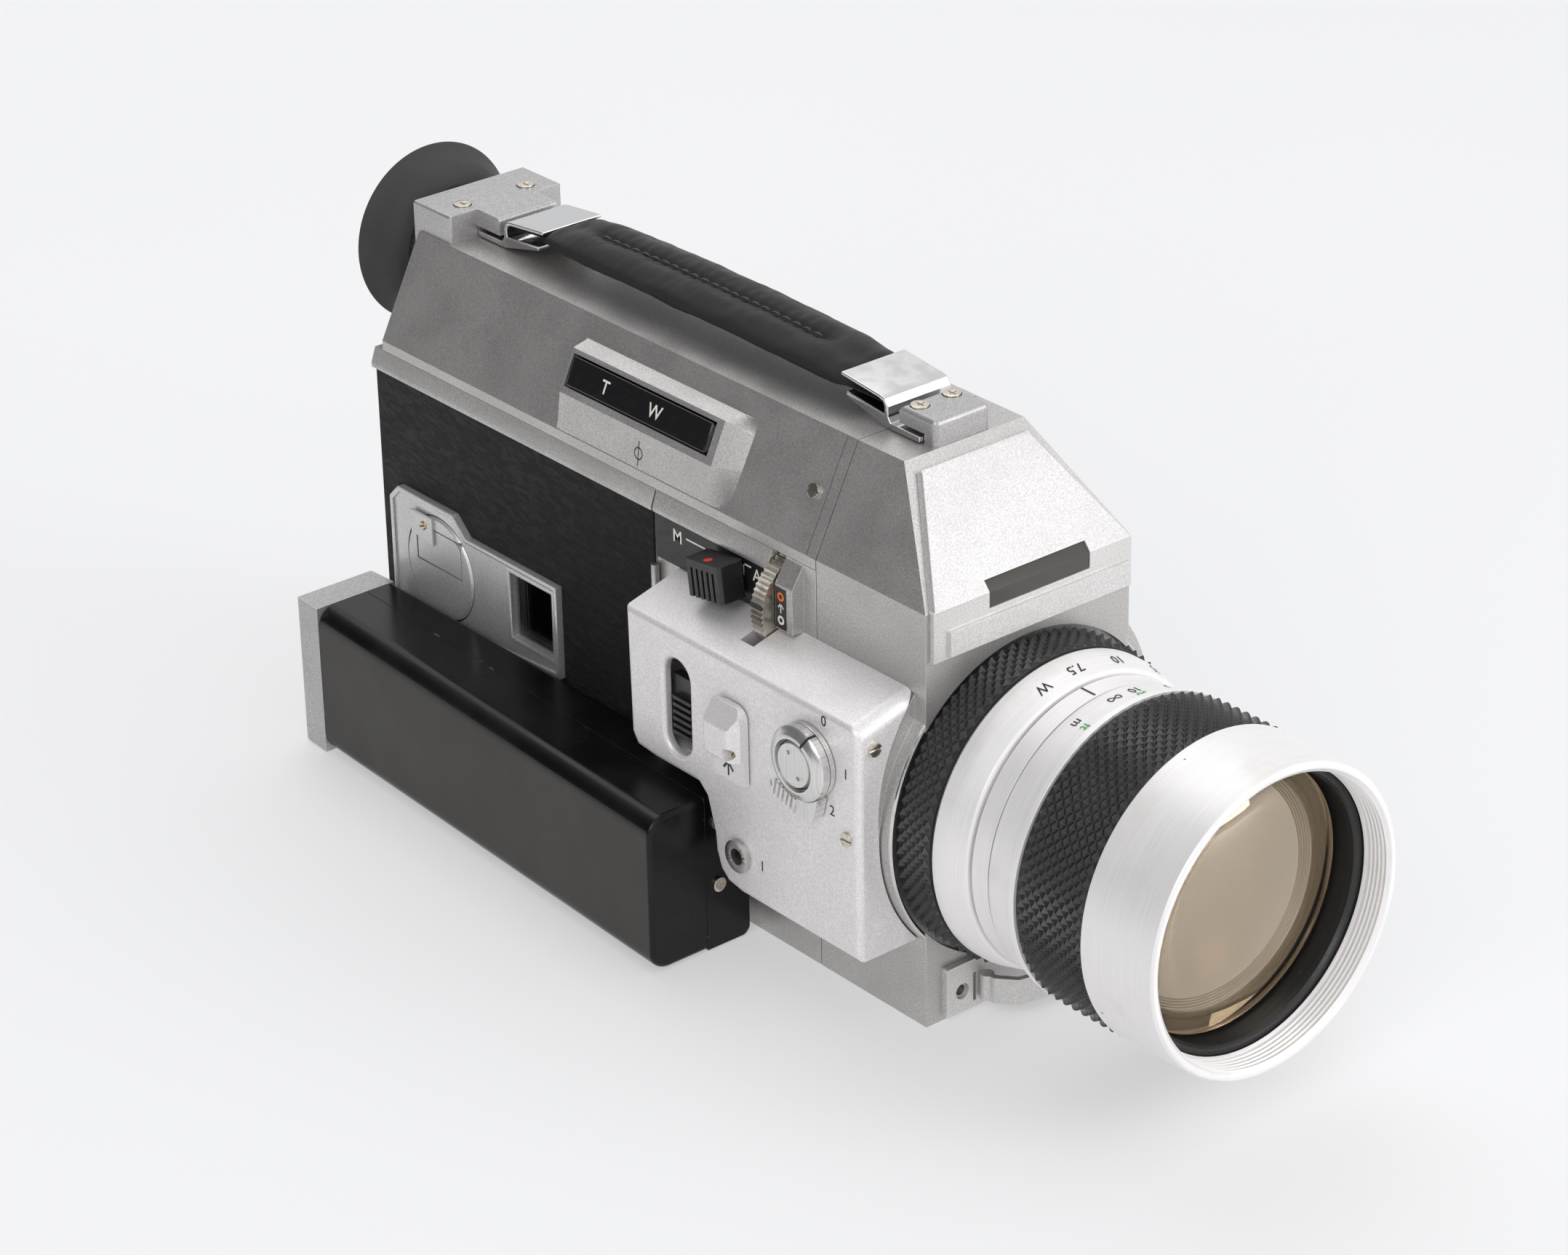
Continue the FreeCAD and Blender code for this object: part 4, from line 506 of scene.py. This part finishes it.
def studded_ring(name, node, rear, front, steps_along, steps_round, radius, body):
    """Rubber ring covered with four-sided studs in a diamond pattern; radius is at their tips."""
    foot = radius - STUD_HEIGHT
    turns = [2 * math.pi * j / steps_round for j in range(steps_round)]
    points, faces = [], []
    for i in range(steps_along + 1):
        x = rear + (front - rear) * i / steps_along
        for j, turn in enumerate(turns):
            hollow = (i + j) % 2 or i in (0, steps_along)
            points.append(on_lens(x, foot if hollow else radius, turn))

    def at(i, j):
        return i * steps_round + j % steps_round

    for i in range(steps_along):
        for j in range(steps_round):
            a, b, c, d = at(i, j), at(i, j + 1), at(i + 1, j + 1), at(i + 1, j)
            faces += [(a, b, c), (a, c, d)] if (i + j) % 2 else [(a, b, d), (b, c, d)]
    low_in = len(points)
    high_in = low_in + steps_round
    for x in (rear, front):
        points += [on_lens(x, foot - RUBBER_SKIN, turn) for turn in turns]
    for j in range(steps_round):
        after = (j + 1) % steps_round
        faces.append((at(0, after), at(0, j), low_in + j, low_in + after))
        faces.append((at(steps_along, j), at(steps_along, after), high_in + after, high_in + j))
        faces.append((low_in + after, low_in + j, high_in + j, high_in + after))
    ring = piece(name, points, faces, KNURL, body, smooth=False)
    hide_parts(node)
    bevel = ring.modifiers.new("worn_tips", "BEVEL")
    bevel.width = STUD_WEAR * MM
    bevel.segments = 1
    bevel.limit_method = "ANGLE"
    bevel.angle_limit = math.radians(20)


# ---------------------------------------------------------------- strap

STRAP_REAR, STRAP_FRONT = -86.0, 34.6
SEAM_REAR, SEAM_FRONT = -68.0, 13.0
STITCH_PITCH, STITCH_LENGTH, THREAD_RADIUS = 3.3, 2.442, 0.26
# x, half width, thickness and height of the middle, from the rear clip to the front clip.
STRAP_STATIONS = [(STRAP_REAR, 7.2, 1.0, 120.9), (-77.0, 7.4, 1.3, 121.9), (-73.0, 8.2, 3.2, 121.9),
                  (-66.0, 9.0, 4.6, 121.9), (-40.0, 9.4, 5.0, 122.2), (-15.0, 9.4, 5.0, 122.1),
                  (12.0, 9.2, 4.8, 121.6), (20.0, 8.6, 4.0, 121.0), (25.0, 7.8, 2.0, 120.7),
                  (STRAP_FRONT, 7.4, 1.0, 120.4)]


def strap_section(x):
    """Half width, thickness and middle height of the strap at x, eased between stations."""
    for (x0, *low), (x1, *high) in zip(STRAP_STATIONS, STRAP_STATIONS[1:]):
        if x <= x1:
            share = (x - x0) / (x1 - x0)
            share = share * share * (3 - 2 * share)
            return [a + (b - a) * share for a, b in zip(low, high)]
    return STRAP_STATIONS[-1][1:]


def strap():
    """Padded leather strap with one puckered seam down its middle."""
    stations, around = 440, 96
    points, faces = [], []
    for i in range(stations + 1):
        x = STRAP_REAR + (STRAP_FRONT - STRAP_REAR) * i / stations
        half, thick, middle = strap_section(x)
        seam = max(0.0, min(1.0, (x - SEAM_REAR) / 5)) * max(0.0, min(1.0, (SEAM_FRONT - x) / 5))
        beat = 0.5 + 0.5 * math.cos(2 * math.pi * (x - SEAM_REAR) / STITCH_PITCH)
        for j in range(around):
            turn = 2 * math.pi * j / around
            c, s = math.cos(turn), math.sin(turn)
            y = half * math.copysign(abs(c) ** 0.72, c)
            z = 0.5 * thick * math.copysign(abs(s) ** 0.80, s)
            if s > 0:
                crown = math.exp(-((abs(y) - 0.5 * half) / (0.33 * half)) ** 2) * min(1.0, thick / 4.8)
                z += 0.55 * crown * s
                groove = math.exp(-(y / 0.85) ** 2)
                pucker = math.exp(-((abs(y) - 1.9) / 1.3) ** 2)
                z -= seam * (groove * (1.15 + 0.5 * beat) + pucker * 0.26 * beat)
            lump = noise.noise(Vector((x * 0.11, y * 0.22, 3.0 + s)))
            crease = noise.noise(Vector((x * 0.45, y * 0.16, 9.0 - s)))
            sway = noise.noise(Vector((x * 0.15, 5.0, 2.0 * c)))
            z += (0.22 * lump + 0.10 * crease) * min(1.0, thick / 4.0)
            y += 0.18 * sway * min(1.0, thick / 4.0)
            points.append((x, y, middle + z))
    for i in range(stations):
        for j in range(around):
            after = (j + 1) % around
            faces.append((i * around + j, i * around + after, (i + 1) * around + after,
                          (i + 1) * around + j))
    faces.append(tuple(range(around)))
    faces.append(tuple(reversed(range(stations * around, (stations + 1) * around))))
    made = piece("padded_strap", points, faces, STRAP, "root")
    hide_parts("carry_strap")
    smooth = made.modifiers.new("smooth", "SUBSURF")
    smooth.levels = smooth.render_levels = 1


def stitch(points, faces, start, end, radius, steps=6, sides=8):
    """Adds a bent thread between two points, thinner at its ends, to the lists."""
    base = len(points)
    start, end = Vector(start), Vector(end)
    line = end - start
    side = line.cross(Vector(UPWARD)).normalized()
    lift = side.cross(line).normalized()
    for i in range(steps + 1):
        share = i / steps
        swell = max(0.15, math.sin(math.pi * min(max(share, 0.06), 0.94)) ** 0.5)
        centre = start + line * share + lift * (0.28 * math.sin(math.pi * share))
        for j in range(sides):
            turn = 2 * math.pi * j / sides
            points.append(centre + (side * math.cos(turn) + lift * math.sin(turn)) * radius * swell)
    for i in range(steps):
        for j in range(sides):
            after = (j + 1) % sides
            faces.append((base + i * sides + j, base + (i + 1) * sides + j,
                          base + (i + 1) * sides + after, base + i * sides + after))
    faces.append(tuple(base + j for j in range(sides)))
    faces.append(tuple(base + steps * sides + j for j in reversed(range(sides))))


def stitches():
    """Waxed thread stitches lying in the strap's seam."""
    points, faces = [], []
    count = int((SEAM_FRONT - SEAM_REAR - 6) / STITCH_PITCH)
    dice = random.Random(7)
    for step in range(count):
        x = SEAM_REAR + 3.5 + STITCH_PITCH * (step + 0.08)
        thick, middle = strap_section(x)[1:]
        z = middle + 0.5 * thick - 0.5
        y = -0.25 + 0.4 * dice.uniform(-0.25, 0.25)
        stitch(points, faces, (x, y, z), (x + STITCH_LENGTH, -y, z), THREAD_RADIUS)
    piece("strap_stitches", points, faces, THREAD, "root")


# ---------------------------------------------------------------- markings

def lettering(text, height):
    """Outline of a word as (u, v) points and faces, centred, in millimetres."""
    curve = bpy.data.curves.new("lettering", "FONT")
    curve.body = text
    curve.size = height / 0.72
    curve.align_x = "CENTER"
    curve.align_y = "CENTER"
    curve.resolution_u = 4
    curve.offset = 0.012 * height
    holder = bpy.data.objects.new("lettering", curve)
    bpy.context.scene.collection.objects.link(holder)
    graph = bpy.context.evaluated_depsgraph_get()
    mesh = bpy.data.meshes.new_from_object(holder.evaluated_get(graph))
    points = [(vertex.co.x, vertex.co.y) for vertex in mesh.vertices]
    faces = [tuple(polygon.vertices) for polygon in mesh.polygons]
    bpy.data.objects.remove(holder)
    bpy.data.curves.remove(curve)
    bpy.data.meshes.remove(mesh)
    return points, faces


def stroke(points, width):
    """A line of the given width through (u, v) points."""
    corners, faces = [], []
    for (u0, v0), (u1, v1) in zip(points, points[1:]):
        along = Vector((u1 - u0, v1 - v0)).normalized() * width * 0.5
        across = Vector((-along.y, along.x))
        base = len(corners)
        for u, v, sign in ((u0, v0, -1), (u1, v1, 1)):
            end = Vector((u, v)) + along * sign
            corners += [tuple(end - across), tuple(end + across)]
        faces.append((base, base + 2, base + 3, base + 1))
    return corners, faces


def ring_shape(radius, width, sides=28):
    """A flat ring; radius is at the middle of its width."""
    corners, faces = [], []
    for j in range(sides):
        turn = 2 * math.pi * j / sides
        for r in (radius - width * 0.5, radius + width * 0.5):
            corners.append((r * math.cos(turn), r * math.sin(turn)))
    for j in range(sides):
        after = (j + 1) % sides
        faces.append((2 * j, 2 * j + 1, 2 * after + 1, 2 * after))
    return corners, faces


def disc_shape(radius, sides=24):
    """A flat disc."""
    corners = [(radius * math.cos(2 * math.pi * j / sides), radius * math.sin(2 * math.pi * j / sides))
               for j in range(sides)]
    return corners, [tuple(range(sides))]


def engrave(name, shape, lay, look, body):
    """A flat shape laid on a surface; lay turns (u, v) into a point."""
    corners, faces = shape
    return piece(name, [lay(u, v) for u, v in corners], faces, look, body, smooth=False)


def flat(at, right, up):
    """A lay function on a plane through a point."""
    at, right, up = Vector(at), Vector(right).normalized(), Vector(up).normalized()
    return lambda u, v: at + right * u + up * v


def upright(x, y, z):
    """A lay function on an upright plane that faces the camera's right side."""
    return flat((x, y, z), FORWARD, UPWARD)


def face_at(node, normal):
    """Distance in millimetres of a node's outermost plane along a direction."""
    normal = Vector(normal).normalized()
    return max(normal.dot(vertex.co) for vertex in NODES[node].data.vertices) / MM


def round_lens(x, angle, radius_at, lift):
    """A lay function round the lens: text reads to the right for an eye behind the camera."""
    def lay(u, v):
        radius = radius_at(x + v) + lift
        return on_lens(x + v, radius, math.radians(angle) + u / radius)
    return lay


def between(profile):
    """A function that gives the radius at x on a profile of (x, radius) points."""
    def radius_at(x):
        for (x0, r0), (x1, r1) in zip(profile, profile[1:]):
            if x <= x1:
                return r0 + (r1 - r0) * (x - x0) / (x1 - x0)
        return profile[-1][1]
    return radius_at


DIAL_X, DIAL_Z, DIAL_FOOT = 52.5, 60.0, -43.7
DIAL_INDEX_ANGLE = 27


def dial_index():
    """Black line down the dial's side and bevel."""
    # Rise above the dial's foot, and radius.
    profile = [(0.0, 8.03), (1.72, 8.03), (2.12, 7.62), (3.03, 6.02), (3.04, 5.62)]
    lean = math.radians(DIAL_INDEX_ANGLE)
    points, faces = [], []
    for rise, radius in profile:
        for side in (-0.28, 0.28):
            angle = lean + side / radius
            points.append((DIAL_X + radius * math.sin(angle), DIAL_FOOT - rise,
                           DIAL_Z + radius * math.cos(angle)))
    for step in range(len(profile) - 1):
        faces.append((2 * step, 2 * step + 1, 2 * step + 3, 2 * step + 2))
    piece("dial_index", points, faces, BLACK_PRINT_AND_SHADE, "dial", smooth=False)


def wheel_line():
    """Black line across the rim of the knurled wheel."""
    rim, axis_y, axis_z, lift = 11.3, -22.4, 78.8, math.radians(-10)
    points = []
    for angle in (lift - 0.045, lift + 0.045):
        for x in (24.25, 27.75):
            points.append((x, axis_y - rim * math.cos(angle), axis_z - rim * math.sin(angle)))
    piece("wheel_line", points, [(0, 1, 3, 2)], BLACK_PRINT_AND_SHADE, "wheel", smooth=False)


# ---------------------------------------------------------------- small fittings

def tube_faces(rows, around):
    """Faces between rows of points that each go once round."""
    return [(row * around + step, row * around + (step + 1) % around,
             (row + 1) * around + (step + 1) % around, (row + 1) * around + step)
            for row in range(rows - 1) for step in range(around)]


def slotted_head(name, at, out, along, radius, height, look, body):
    """Low round screw head with a slot, standing on a point along a direction."""
    at, out, along = Vector(at), Vector(out).normalized(), Vector(along).normalized()
    across = out.cross(along).normalized()
    sides = 28
    rings = [(radius, 0.0), (radius, height * 0.6), (radius * 0.82, height)]
    points = []
    for ring, rise in rings:
        for step in range(sides):
            turn = 2 * math.pi * step / sides
            points.append(at + out * rise + along * ring * math.cos(turn) + across * ring * math.sin(turn))
    faces = tube_faces(len(rings), sides)
    faces.append(tuple(range(len(points) - sides, len(points))))
    head = piece(name, points, faces, look, body)
    head.modifiers.new("edges", "EDGE_SPLIT").split_angle = math.radians(30)
    groove = flat(at + out * (height + 0.01), along, across)
    engrave(name + "_slot", stroke([(-radius * 0.8, 0), (radius * 0.8, 0)], 0.32 * radius), groove,
            BLACK_PRINT_AND_SHADE, body)


def inset(points, by):
    """A closed outline moved inwards by a distance, corner by corner."""
    count, made = len(points), []
    area = sum(points[i][0] * points[(i + 1) % count][1] - points[(i + 1) % count][0] * points[i][1]
               for i in range(count))
    hand = 1 if area > 0 else -1
    for i in range(count):
        before, here, after = (Vector(points[(i + step) % count]) for step in (-1, 0, 1))
        first, second = (here - before).normalized(), (after - here).normalized()
        first_in = Vector((-first.y, first.x)) * hand
        second_in = Vector((-second.y, second.x)) * hand
        middle = (first_in + second_in).normalized()
        made.append(tuple(here + middle * (by / max(0.3, middle.dot(first_in)))))
    return made


def raised_rim(name, outline, width, foot, height, look):
    """Rounded moulding that follows a closed outline on the right side."""
    rows = [(0.0, 0.0), (0.0, height * 0.7), (width * 0.25, height), (width * 0.75, height),
            (width, height * 0.7), (width, 0.0)]
    points = [(x, foot - rise, z) for by, rise in rows for x, z in inset(outline, by)]
    rim = piece(name, points, tube_faces(len(rows), len(outline)), look, "root")
    rim.modifiers.new("edges", "EDGE_SPLIT").split_angle = math.radians(50)


def turned_ring(name, profile, look, body, sides=160):
    """Closed (x, radius) outline turned round the lens axis."""
    count = len(profile)
    points = [on_lens(x, radius, 2 * math.pi * step / sides)
              for step in range(sides) for x, radius in profile]
    faces = [(step * count + row, step * count + (row + 1) % count,
              (step + 1) % sides * count + (row + 1) % count, (step + 1) % sides * count + row)
             for step in range(sides) for row in range(count)]
    ring = piece(name, points, faces, look, body)
    ring.modifiers.new("edges", "EDGE_SPLIT").split_angle = math.radians(40)


TRIM_FACE, CLIP_BACK, CLIP_FACE = -28.7, -29.1, -29.75
BUTTON_FACE = -43.92
BAND_SCREW_X, BAND_SCREW_RADIUS = 122.7, 33.22


def latch_clip():
    """Small flat clip on the door latch, with rounded edges."""
    outline = [(-99.4, 51.2), (-91.4, 50.0), (-91.4, 56.8), (-99.4, 56.8)]
    points = [(x, y, z) for y in (CLIP_BACK, CLIP_FACE) for x, z in outline]
    faces = [(0, 1, 2, 3), (7, 6, 5, 4), (0, 4, 5, 1), (1, 5, 6, 2), (2, 6, 7, 3), (3, 7, 4, 0)]
    clip = piece("latch_clip", points, faces, TRIM, "latch", smooth=False)
    soft = clip.modifiers.new("soft", "BEVEL")
    soft.width, soft.segments = 0.2 * MM, 2


def fittings():
    """Rims of the door's trim plate and window, and the small fastenings of the outside."""
    trim = [(-108.0, 30.0), (-47.2, 34.0), (-47.2, 56.0), (-79.5, 56.0), (-84.0, 60.2), (-104.6, 60.2),
            (-108.0, 56.8)]
    raised_rim("trim_rim", trim, 1.1, TRIM_FACE, 0.55, TRIM)
    window = [(-64.8, 37.2), (-48.0, 37.2), (-48.0, 54.8), (-64.8, 54.8)]
    raised_rim("window_rim", window, 1.0, TRIM_FACE, 0.5, TRIM)
    latch_clip()
    slotted_head("latch_rivet", (-94.6, CLIP_FACE, 54.2), RIGHTWARD, (1, 0, 0.4), 1.0, 0.35, BRASS,
                 "latch")
    # latch_line is a painted shade line down the latch.
    engrave("latch_line", stroke([(0, -9.0), (0, 0)], 0.18), upright(-98.3, -28.93, 51.6), SEAM_SHADE,
            "latch")
    slotted_head("button_screw", (31.9, BUTTON_FACE, 54.0), RIGHTWARD, (0.5, 0, 0.9), 1.15, 0.9, BRASS,
                 "button")
    for index, angle in enumerate((16, 118)):
        turn = math.radians(angle)
        out = (0, -math.sin(turn), math.cos(turn))
        slotted_head(f"band_screw_{index}", on_lens(BAND_SCREW_X, BAND_SCREW_RADIUS, turn), out, FORWARD,
                     0.7, 0.12, BRASS, "focus")


THREAD_TURNS, THREAD_REAR, THREAD_PITCH = 5, 134.6, 1.05


def lens_rings():
    """Bright lip of the collar, and the turns of the front thread."""
    lip = [(69.52, 35.45), (69.52, 36.5), (69.8, 36.4), (69.95, 36.0), (69.8, 35.6)]
    turned_ring("collar_lip", lip, CHROME, "root")
    for step in range(THREAD_TURNS):
        x = THREAD_REAR + THREAD_PITCH * step
        turned_ring(f"filter_thread_{step}", [(x, 31.02), (x + 0.3, 30.7), (x + 0.6, 31.02)], ALLOY,
                    "focus")


# ---------------------------------------------------------------- scales and signs

# How far the printed shapes stand off their surfaces.
SCALE_LIFT, INDEX_LIFT, SIGN_LIFT = 0.07, 0.06, 0.03
INDEX_RADIUS = 31.2


def lens_scales():
    """Zoom scale, the two distance scales and the index line between them."""
    zoom = between([(79.0, 33.6), (81.6, 33.6), (86.9, 32.2), (87.3, 31.7)])
    focus = between([(93.3, 31.6), (99.7, 32.0), (100.3, 33.2), (101.9, 33.2)])
    zoom_words = ("W", 16), ("7.5", 1), ("10", -19), ("15", -40), ("20", -56), ("30", -72), ("T", -88)
    metre_words = ("m", 21), ("10", -7), ("5", -24), ("3", -42), ("2", -61), ("1.5", -80)
    feet_words = ("ft", 21), ("30", -7), ("15", -24), ("10", -42), ("7", -61), ("5", -80)
    for kind, body, words, height, x, radius_at, look in (
            ("zoom", "zoom", zoom_words, 2.3, 83.9, zoom, BLACK_PRINT_AND_SHADE),
            ("metre", "focus", metre_words, 2.1, 95.9, focus, BLACK_PRINT_AND_SHADE),
            ("feet", "focus", feet_words, 2.1, 98.4, focus, GREEN_MARK)):
        for text, angle in words:
            engrave(f"{kind}_mark_" + text.replace(".", "_"), lettering(text, height),
                    round_lens(x, angle, radius_at, SCALE_LIFT), look, body)
    loops = [(1.512 * math.sin(turn), 0.62 * math.sin(2 * turn))
             for turn in (2 * math.pi * step / 28 for step in range(29))]
    engrave("far_mark", stroke(loops, 0.3), round_lens(96.2, 3, focus, SCALE_LIFT), BLACK_PRINT_AND_SHADE, "focus")
    index = round_lens(89.9, 5, lambda x: INDEX_RADIUS, INDEX_LIFT)
    engrave("index_line", stroke([(0, -1.7), (0, 1.7)], 0.5), index, BLACK_PRINT_AND_SHADE, "root")


def panel_marks():
    """Figures and arrow of the side panel's dial, jack and button, and painted shade in the dial's groove.
    """
    panel = -face_at("side_panel", RIGHTWARD) - SIGN_LIFT
    for text, x, z in (("0", 56.9, 70.0), ("1", 63.4, 60.8), ("2", 59.2, 51.0)):
        engrave("dial_mark_" + text, lettering(text, 2.3), upright(x, panel, z), BLACK_PRINT_AND_SHADE, "root")
    engrave("jack_mark", lettering("1", 2.4), upright(37.1, panel, 28.9), BLACK_PRINT_AND_SHADE, "root")
    dial_index()
    engrave("button_arrow", stroke([(0, -1.4), (0, 1.3)], 0.5), upright(28.9, panel - 1.6, 48.9),
            BLACK_PRINT_AND_SHADE, "button")
    engrave("button_arrow_head", stroke([(-1.35, -0.1), (0, 1.5), (1.35, -0.1)], 0.55),
            upright(28.9, panel - 1.61, 48.9), BLACK_PRINT_AND_SHADE, "button")
    # A black ring on the floor of the dial's groove is painted shade of the deep groove.
    engrave("dial_groove_shade", ring_shape(5.1, 0.5, 64), upright(DIAL_X, DIAL_FOOT - 2.03, DIAL_Z),
            BLACK_PRINT_AND_SHADE, "dial")
    knob_top = flat((10.6, -33.2, 85.24), (0.990, 0, 0.139), (0, 1, 0))
    engrave("knob_dot", disc_shape(0.95), knob_top, RED_MARK, "knob")


def wheel_marks():
    """Line on the wheel, and the small tag of signs beside it."""
    tag_x, tag_y, tag_z = 29.9, -30.24, 80.5
    sign_y = tag_y - SIGN_LIFT
    middle = upright(tag_x, sign_y, tag_z)
    wheel_line()
    engrave("wheel_tag", stroke([(0, -2.9), (0, 2.9)], 3.3), upright(tag_x, tag_y, tag_z), LABEL, "root")
    engrave("wheel_tag_upper", ring_shape(0.75, 0.5), upright(tag_x, sign_y, tag_z + 2.6), ORANGE_MARK,
            "root")
    engrave("wheel_tag_arrow", stroke([(-0.7, 0.2), (0, 1.1), (0.7, 0.2)], 0.3), middle, WHITE_MARK,
            "root")
    engrave("wheel_tag_shaft", stroke([(0, -0.9), (0, 0.9)], 0.3), middle, WHITE_MARK, "root")
    engrave("wheel_tag_lower", ring_shape(0.75, 0.5), upright(tag_x, sign_y, tag_z - 2.6), WHITE_MARK,
            "root")


def housing_marks():
    """Painted shade of the second seam, letters of the zoom rocker, film plane sign and the exposure label.
    """
    # second_seam is a painted shade line along the seam, not a cut.
    seam = flat((34.3, -27.227, 92.913), FORWARD, (0, 11.4, 22.7))
    engrave("second_seam", stroke([(0, 0.2), (0, 25.2)], 0.16), seam, SEAM_SHADE, "root")

    normal, up = Vector((0, -0.9085, 0.4179)), Vector((0, 0.4179, 0.9085))
    reach = face_at("zoom_rocker", normal) + SIGN_LIFT
    climb = (105.9 - reach * normal.z) / up.z
    for text, x in (("T", -33.3), ("W", -16.8)):
        at = normal.normalized() * reach + up * climb
        engrave("rocker_mark_" + text, lettering(text, 3.0), flat((x, at.y, at.z), FORWARD, up),
                WHITE_MARK, "rocker")

    plane = flat((-19.7, -26.69, 96.4), FORWARD, (0, 0.121, 0.993))
    engrave("plane_ring", ring_shape(1.25, 0.32), plane, BLACK_PRINT_AND_SHADE, "root")
    engrave("plane_line", stroke([(0, -2.6), (0, 2.6)], 0.3), plane, BLACK_PRINT_AND_SHADE, "root")

    band = -face_at("label_band", RIGHTWARD) - SIGN_LIFT
    label = upright(0, band, 0)
    leads = {"M": [(-3.0, 83.2), (3.2, 83.2), (3.2, 80.6)], "A": [(17.6, 84.4), (15.4, 84.4), (15.4, 82.0)]}
    for text, x, z in (("M", -6.0, 82.6), ("A", 19.6, 83.0)):
        engrave("label_mark_" + text, lettering(text, 2.9), upright(x, band, z), WHITE_MARK, "root")
    for text, route in leads.items():
        engrave("label_lead_" + text, stroke(route, 0.36), label, WHITE_MARK, "root")


# ---------------------------------------------------------------- floor, light and camera

FLOOR_HALF = 6.0
# Place in metres, size, power and the point a lamp looks at.
LAMPS = {"rear_top": ((-0.70, 0.30, 1.25), (1.0, 1.0), 3.2, (0.02, 0.0, 0.05)),
         "front_right": ((1.35, 0.75, 0.75), (0.9, 0.9), 4.2, (0.02, 0.0, 0.05)),
         "front_left": ((0.65, -1.35, 1.05), (1.2, 0.9), 8.0, (0.02, 0.0, 0.05)),
         "lens_glint": ((0.92, 0.50, 0.30), (0.34, 0.55), 2.0, (0.13, 0.0, 0.045))}
CAMERA_AT = (656.0, -544.2, 487.05)
CAMERA_BACK = (0.68897, -0.56636, 0.45228)
CAMERA_ROLL, FOCAL_LENGTH, SENSOR_WIDTH = -1.04, 104.43, 36.0


def lay_floor():
    """Pale floor with a faint glow of its own."""
    look = Look("floor", (0.45, 0.45, 0.453), rough=0.7)
    look.colour(look.mix(look.ramp(look.noise(3.0), 0.3, 0.7), (0.445, 0.445, 0.45), (0.455, 0.455, 0.46)))
    look.shader.inputs["Emission Color"].default_value = (1.0, 1.0, 1.0, 1)
    look.shader.inputs["Emission Strength"].default_value = 0.41
    corners = [(-FLOOR_HALF, -FLOOR_HALF, 0), (FLOOR_HALF, -FLOOR_HALF, 0), (FLOOR_HALF, FLOOR_HALF, 0),
               (-FLOOR_HALF, FLOOR_HALF, 0)]
    mesh = bpy.data.meshes.new("floor")
    mesh.from_pydata(corners, [], [(0, 1, 2, 3)])
    mesh.materials.append(look.material)
    floor = bpy.data.objects.new("floor", mesh)
    bpy.context.scene.collection.objects.link(floor)


def softbox(name, at, size, power, aim):
    """A white area light that looks at a point."""
    data = bpy.data.lights.new(name, "AREA")
    data.shape = "RECTANGLE"
    data.size, data.size_y = size
    data.energy = power
    lamp = bpy.data.objects.new(name, data)
    lamp.location = at
    lamp.rotation_euler = (Vector(at) - Vector(aim)).to_track_quat("Z", "Y").to_euler()
    bpy.context.scene.collection.objects.link(lamp)


def surroundings():
    """White studio that is darker towards the right side and the rear, and brighter overhead."""
    world = bpy.data.worlds.new("studio")
    bpy.context.scene.world = world
    world.use_nodes = True
    tree = world.node_tree
    place = tree.nodes.new("ShaderNodeTexCoord").outputs["Generated"]
    split = tree.nodes.new("ShaderNodeSeparateXYZ")
    tree.links.new(place, split.inputs["Vector"])
    side = tree.nodes.new("ShaderNodeVectorMath")
    side.operation = "DOT_PRODUCT"
    side.inputs[1].default_value = (-0.62, -0.78, 0.0)
    tree.links.new(place, side.inputs[0])

    def graded(kind, source, low, high, start, end):
        made = tree.nodes.new("ShaderNodeMapRange")
        made.interpolation_type = kind
        for socket, number in (("From Min", low), ("From Max", high), ("To Min", start), ("To Max", end)):
            made.inputs[socket].default_value = number
        tree.links.new(source, made.inputs["Value"])
        return made.outputs["Result"]

    total = tree.nodes.new("ShaderNodeMath")
    total.operation = "MULTIPLY"
    tree.links.new(graded("SMOOTHSTEP", side.outputs["Value"], 0.1, 0.9, 0.95, 0.10), total.inputs[0])
    tree.links.new(graded("LINEAR", split.outputs["Z"], 0.30, 0.72, 0.86, 1.0), total.inputs[1])
    back = tree.nodes["Background"]
    back.inputs["Color"].default_value = (0.97, 0.98, 1.0, 1)
    tree.links.new(total.outputs["Value"], back.inputs["Strength"])


def place_camera():
    """The camera at the photo's place, turned a little round its own axis."""
    data = bpy.data.cameras.new("camera")
    data.lens = FOCAL_LENGTH
    data.sensor_width = SENSOR_WIDTH
    data.sensor_fit = "HORIZONTAL"
    data.clip_start = 0.01
    data.clip_end = 30
    made = bpy.data.objects.new("camera", data)
    back = Vector(CAMERA_BACK).normalized()
    level = Vector(UPWARD).cross(back).normalized()
    top = back.cross(level)
    roll = math.radians(CAMERA_ROLL)
    right = level * math.cos(roll) + top * math.sin(roll)
    up = top * math.cos(roll) - level * math.sin(roll)
    turn = Matrix((right, up, back)).transposed().to_4x4()
    made.matrix_world = Matrix.Translation(Vector(CAMERA_AT) * MM) @ turn
    scene = bpy.context.scene
    scene.collection.objects.link(made)
    scene.camera = made
    scene.view_settings.view_transform = "Standard"


def main():
    dress_cad()
    studded_ring("zoom_rubber", "zoom_grip", rear=68.7, front=78.3, steps_along=8, steps_round=152,
                 radius=34.9, body="zoom")
    studded_ring("focus_rubber", "focus_grip", rear=102.0, front=120.5, steps_along=14, steps_round=150,
                 radius=33.6, body="focus")
    strap()
    stitches()
    lens_scales()
    panel_marks()
    wheel_marks()
    housing_marks()
    fittings()
    lens_rings()
    lay_floor()
    for name, (at, size, power, aim) in LAMPS.items():
        softbox(name, at, size, power, aim)
    surroundings()
    place_camera()


main()
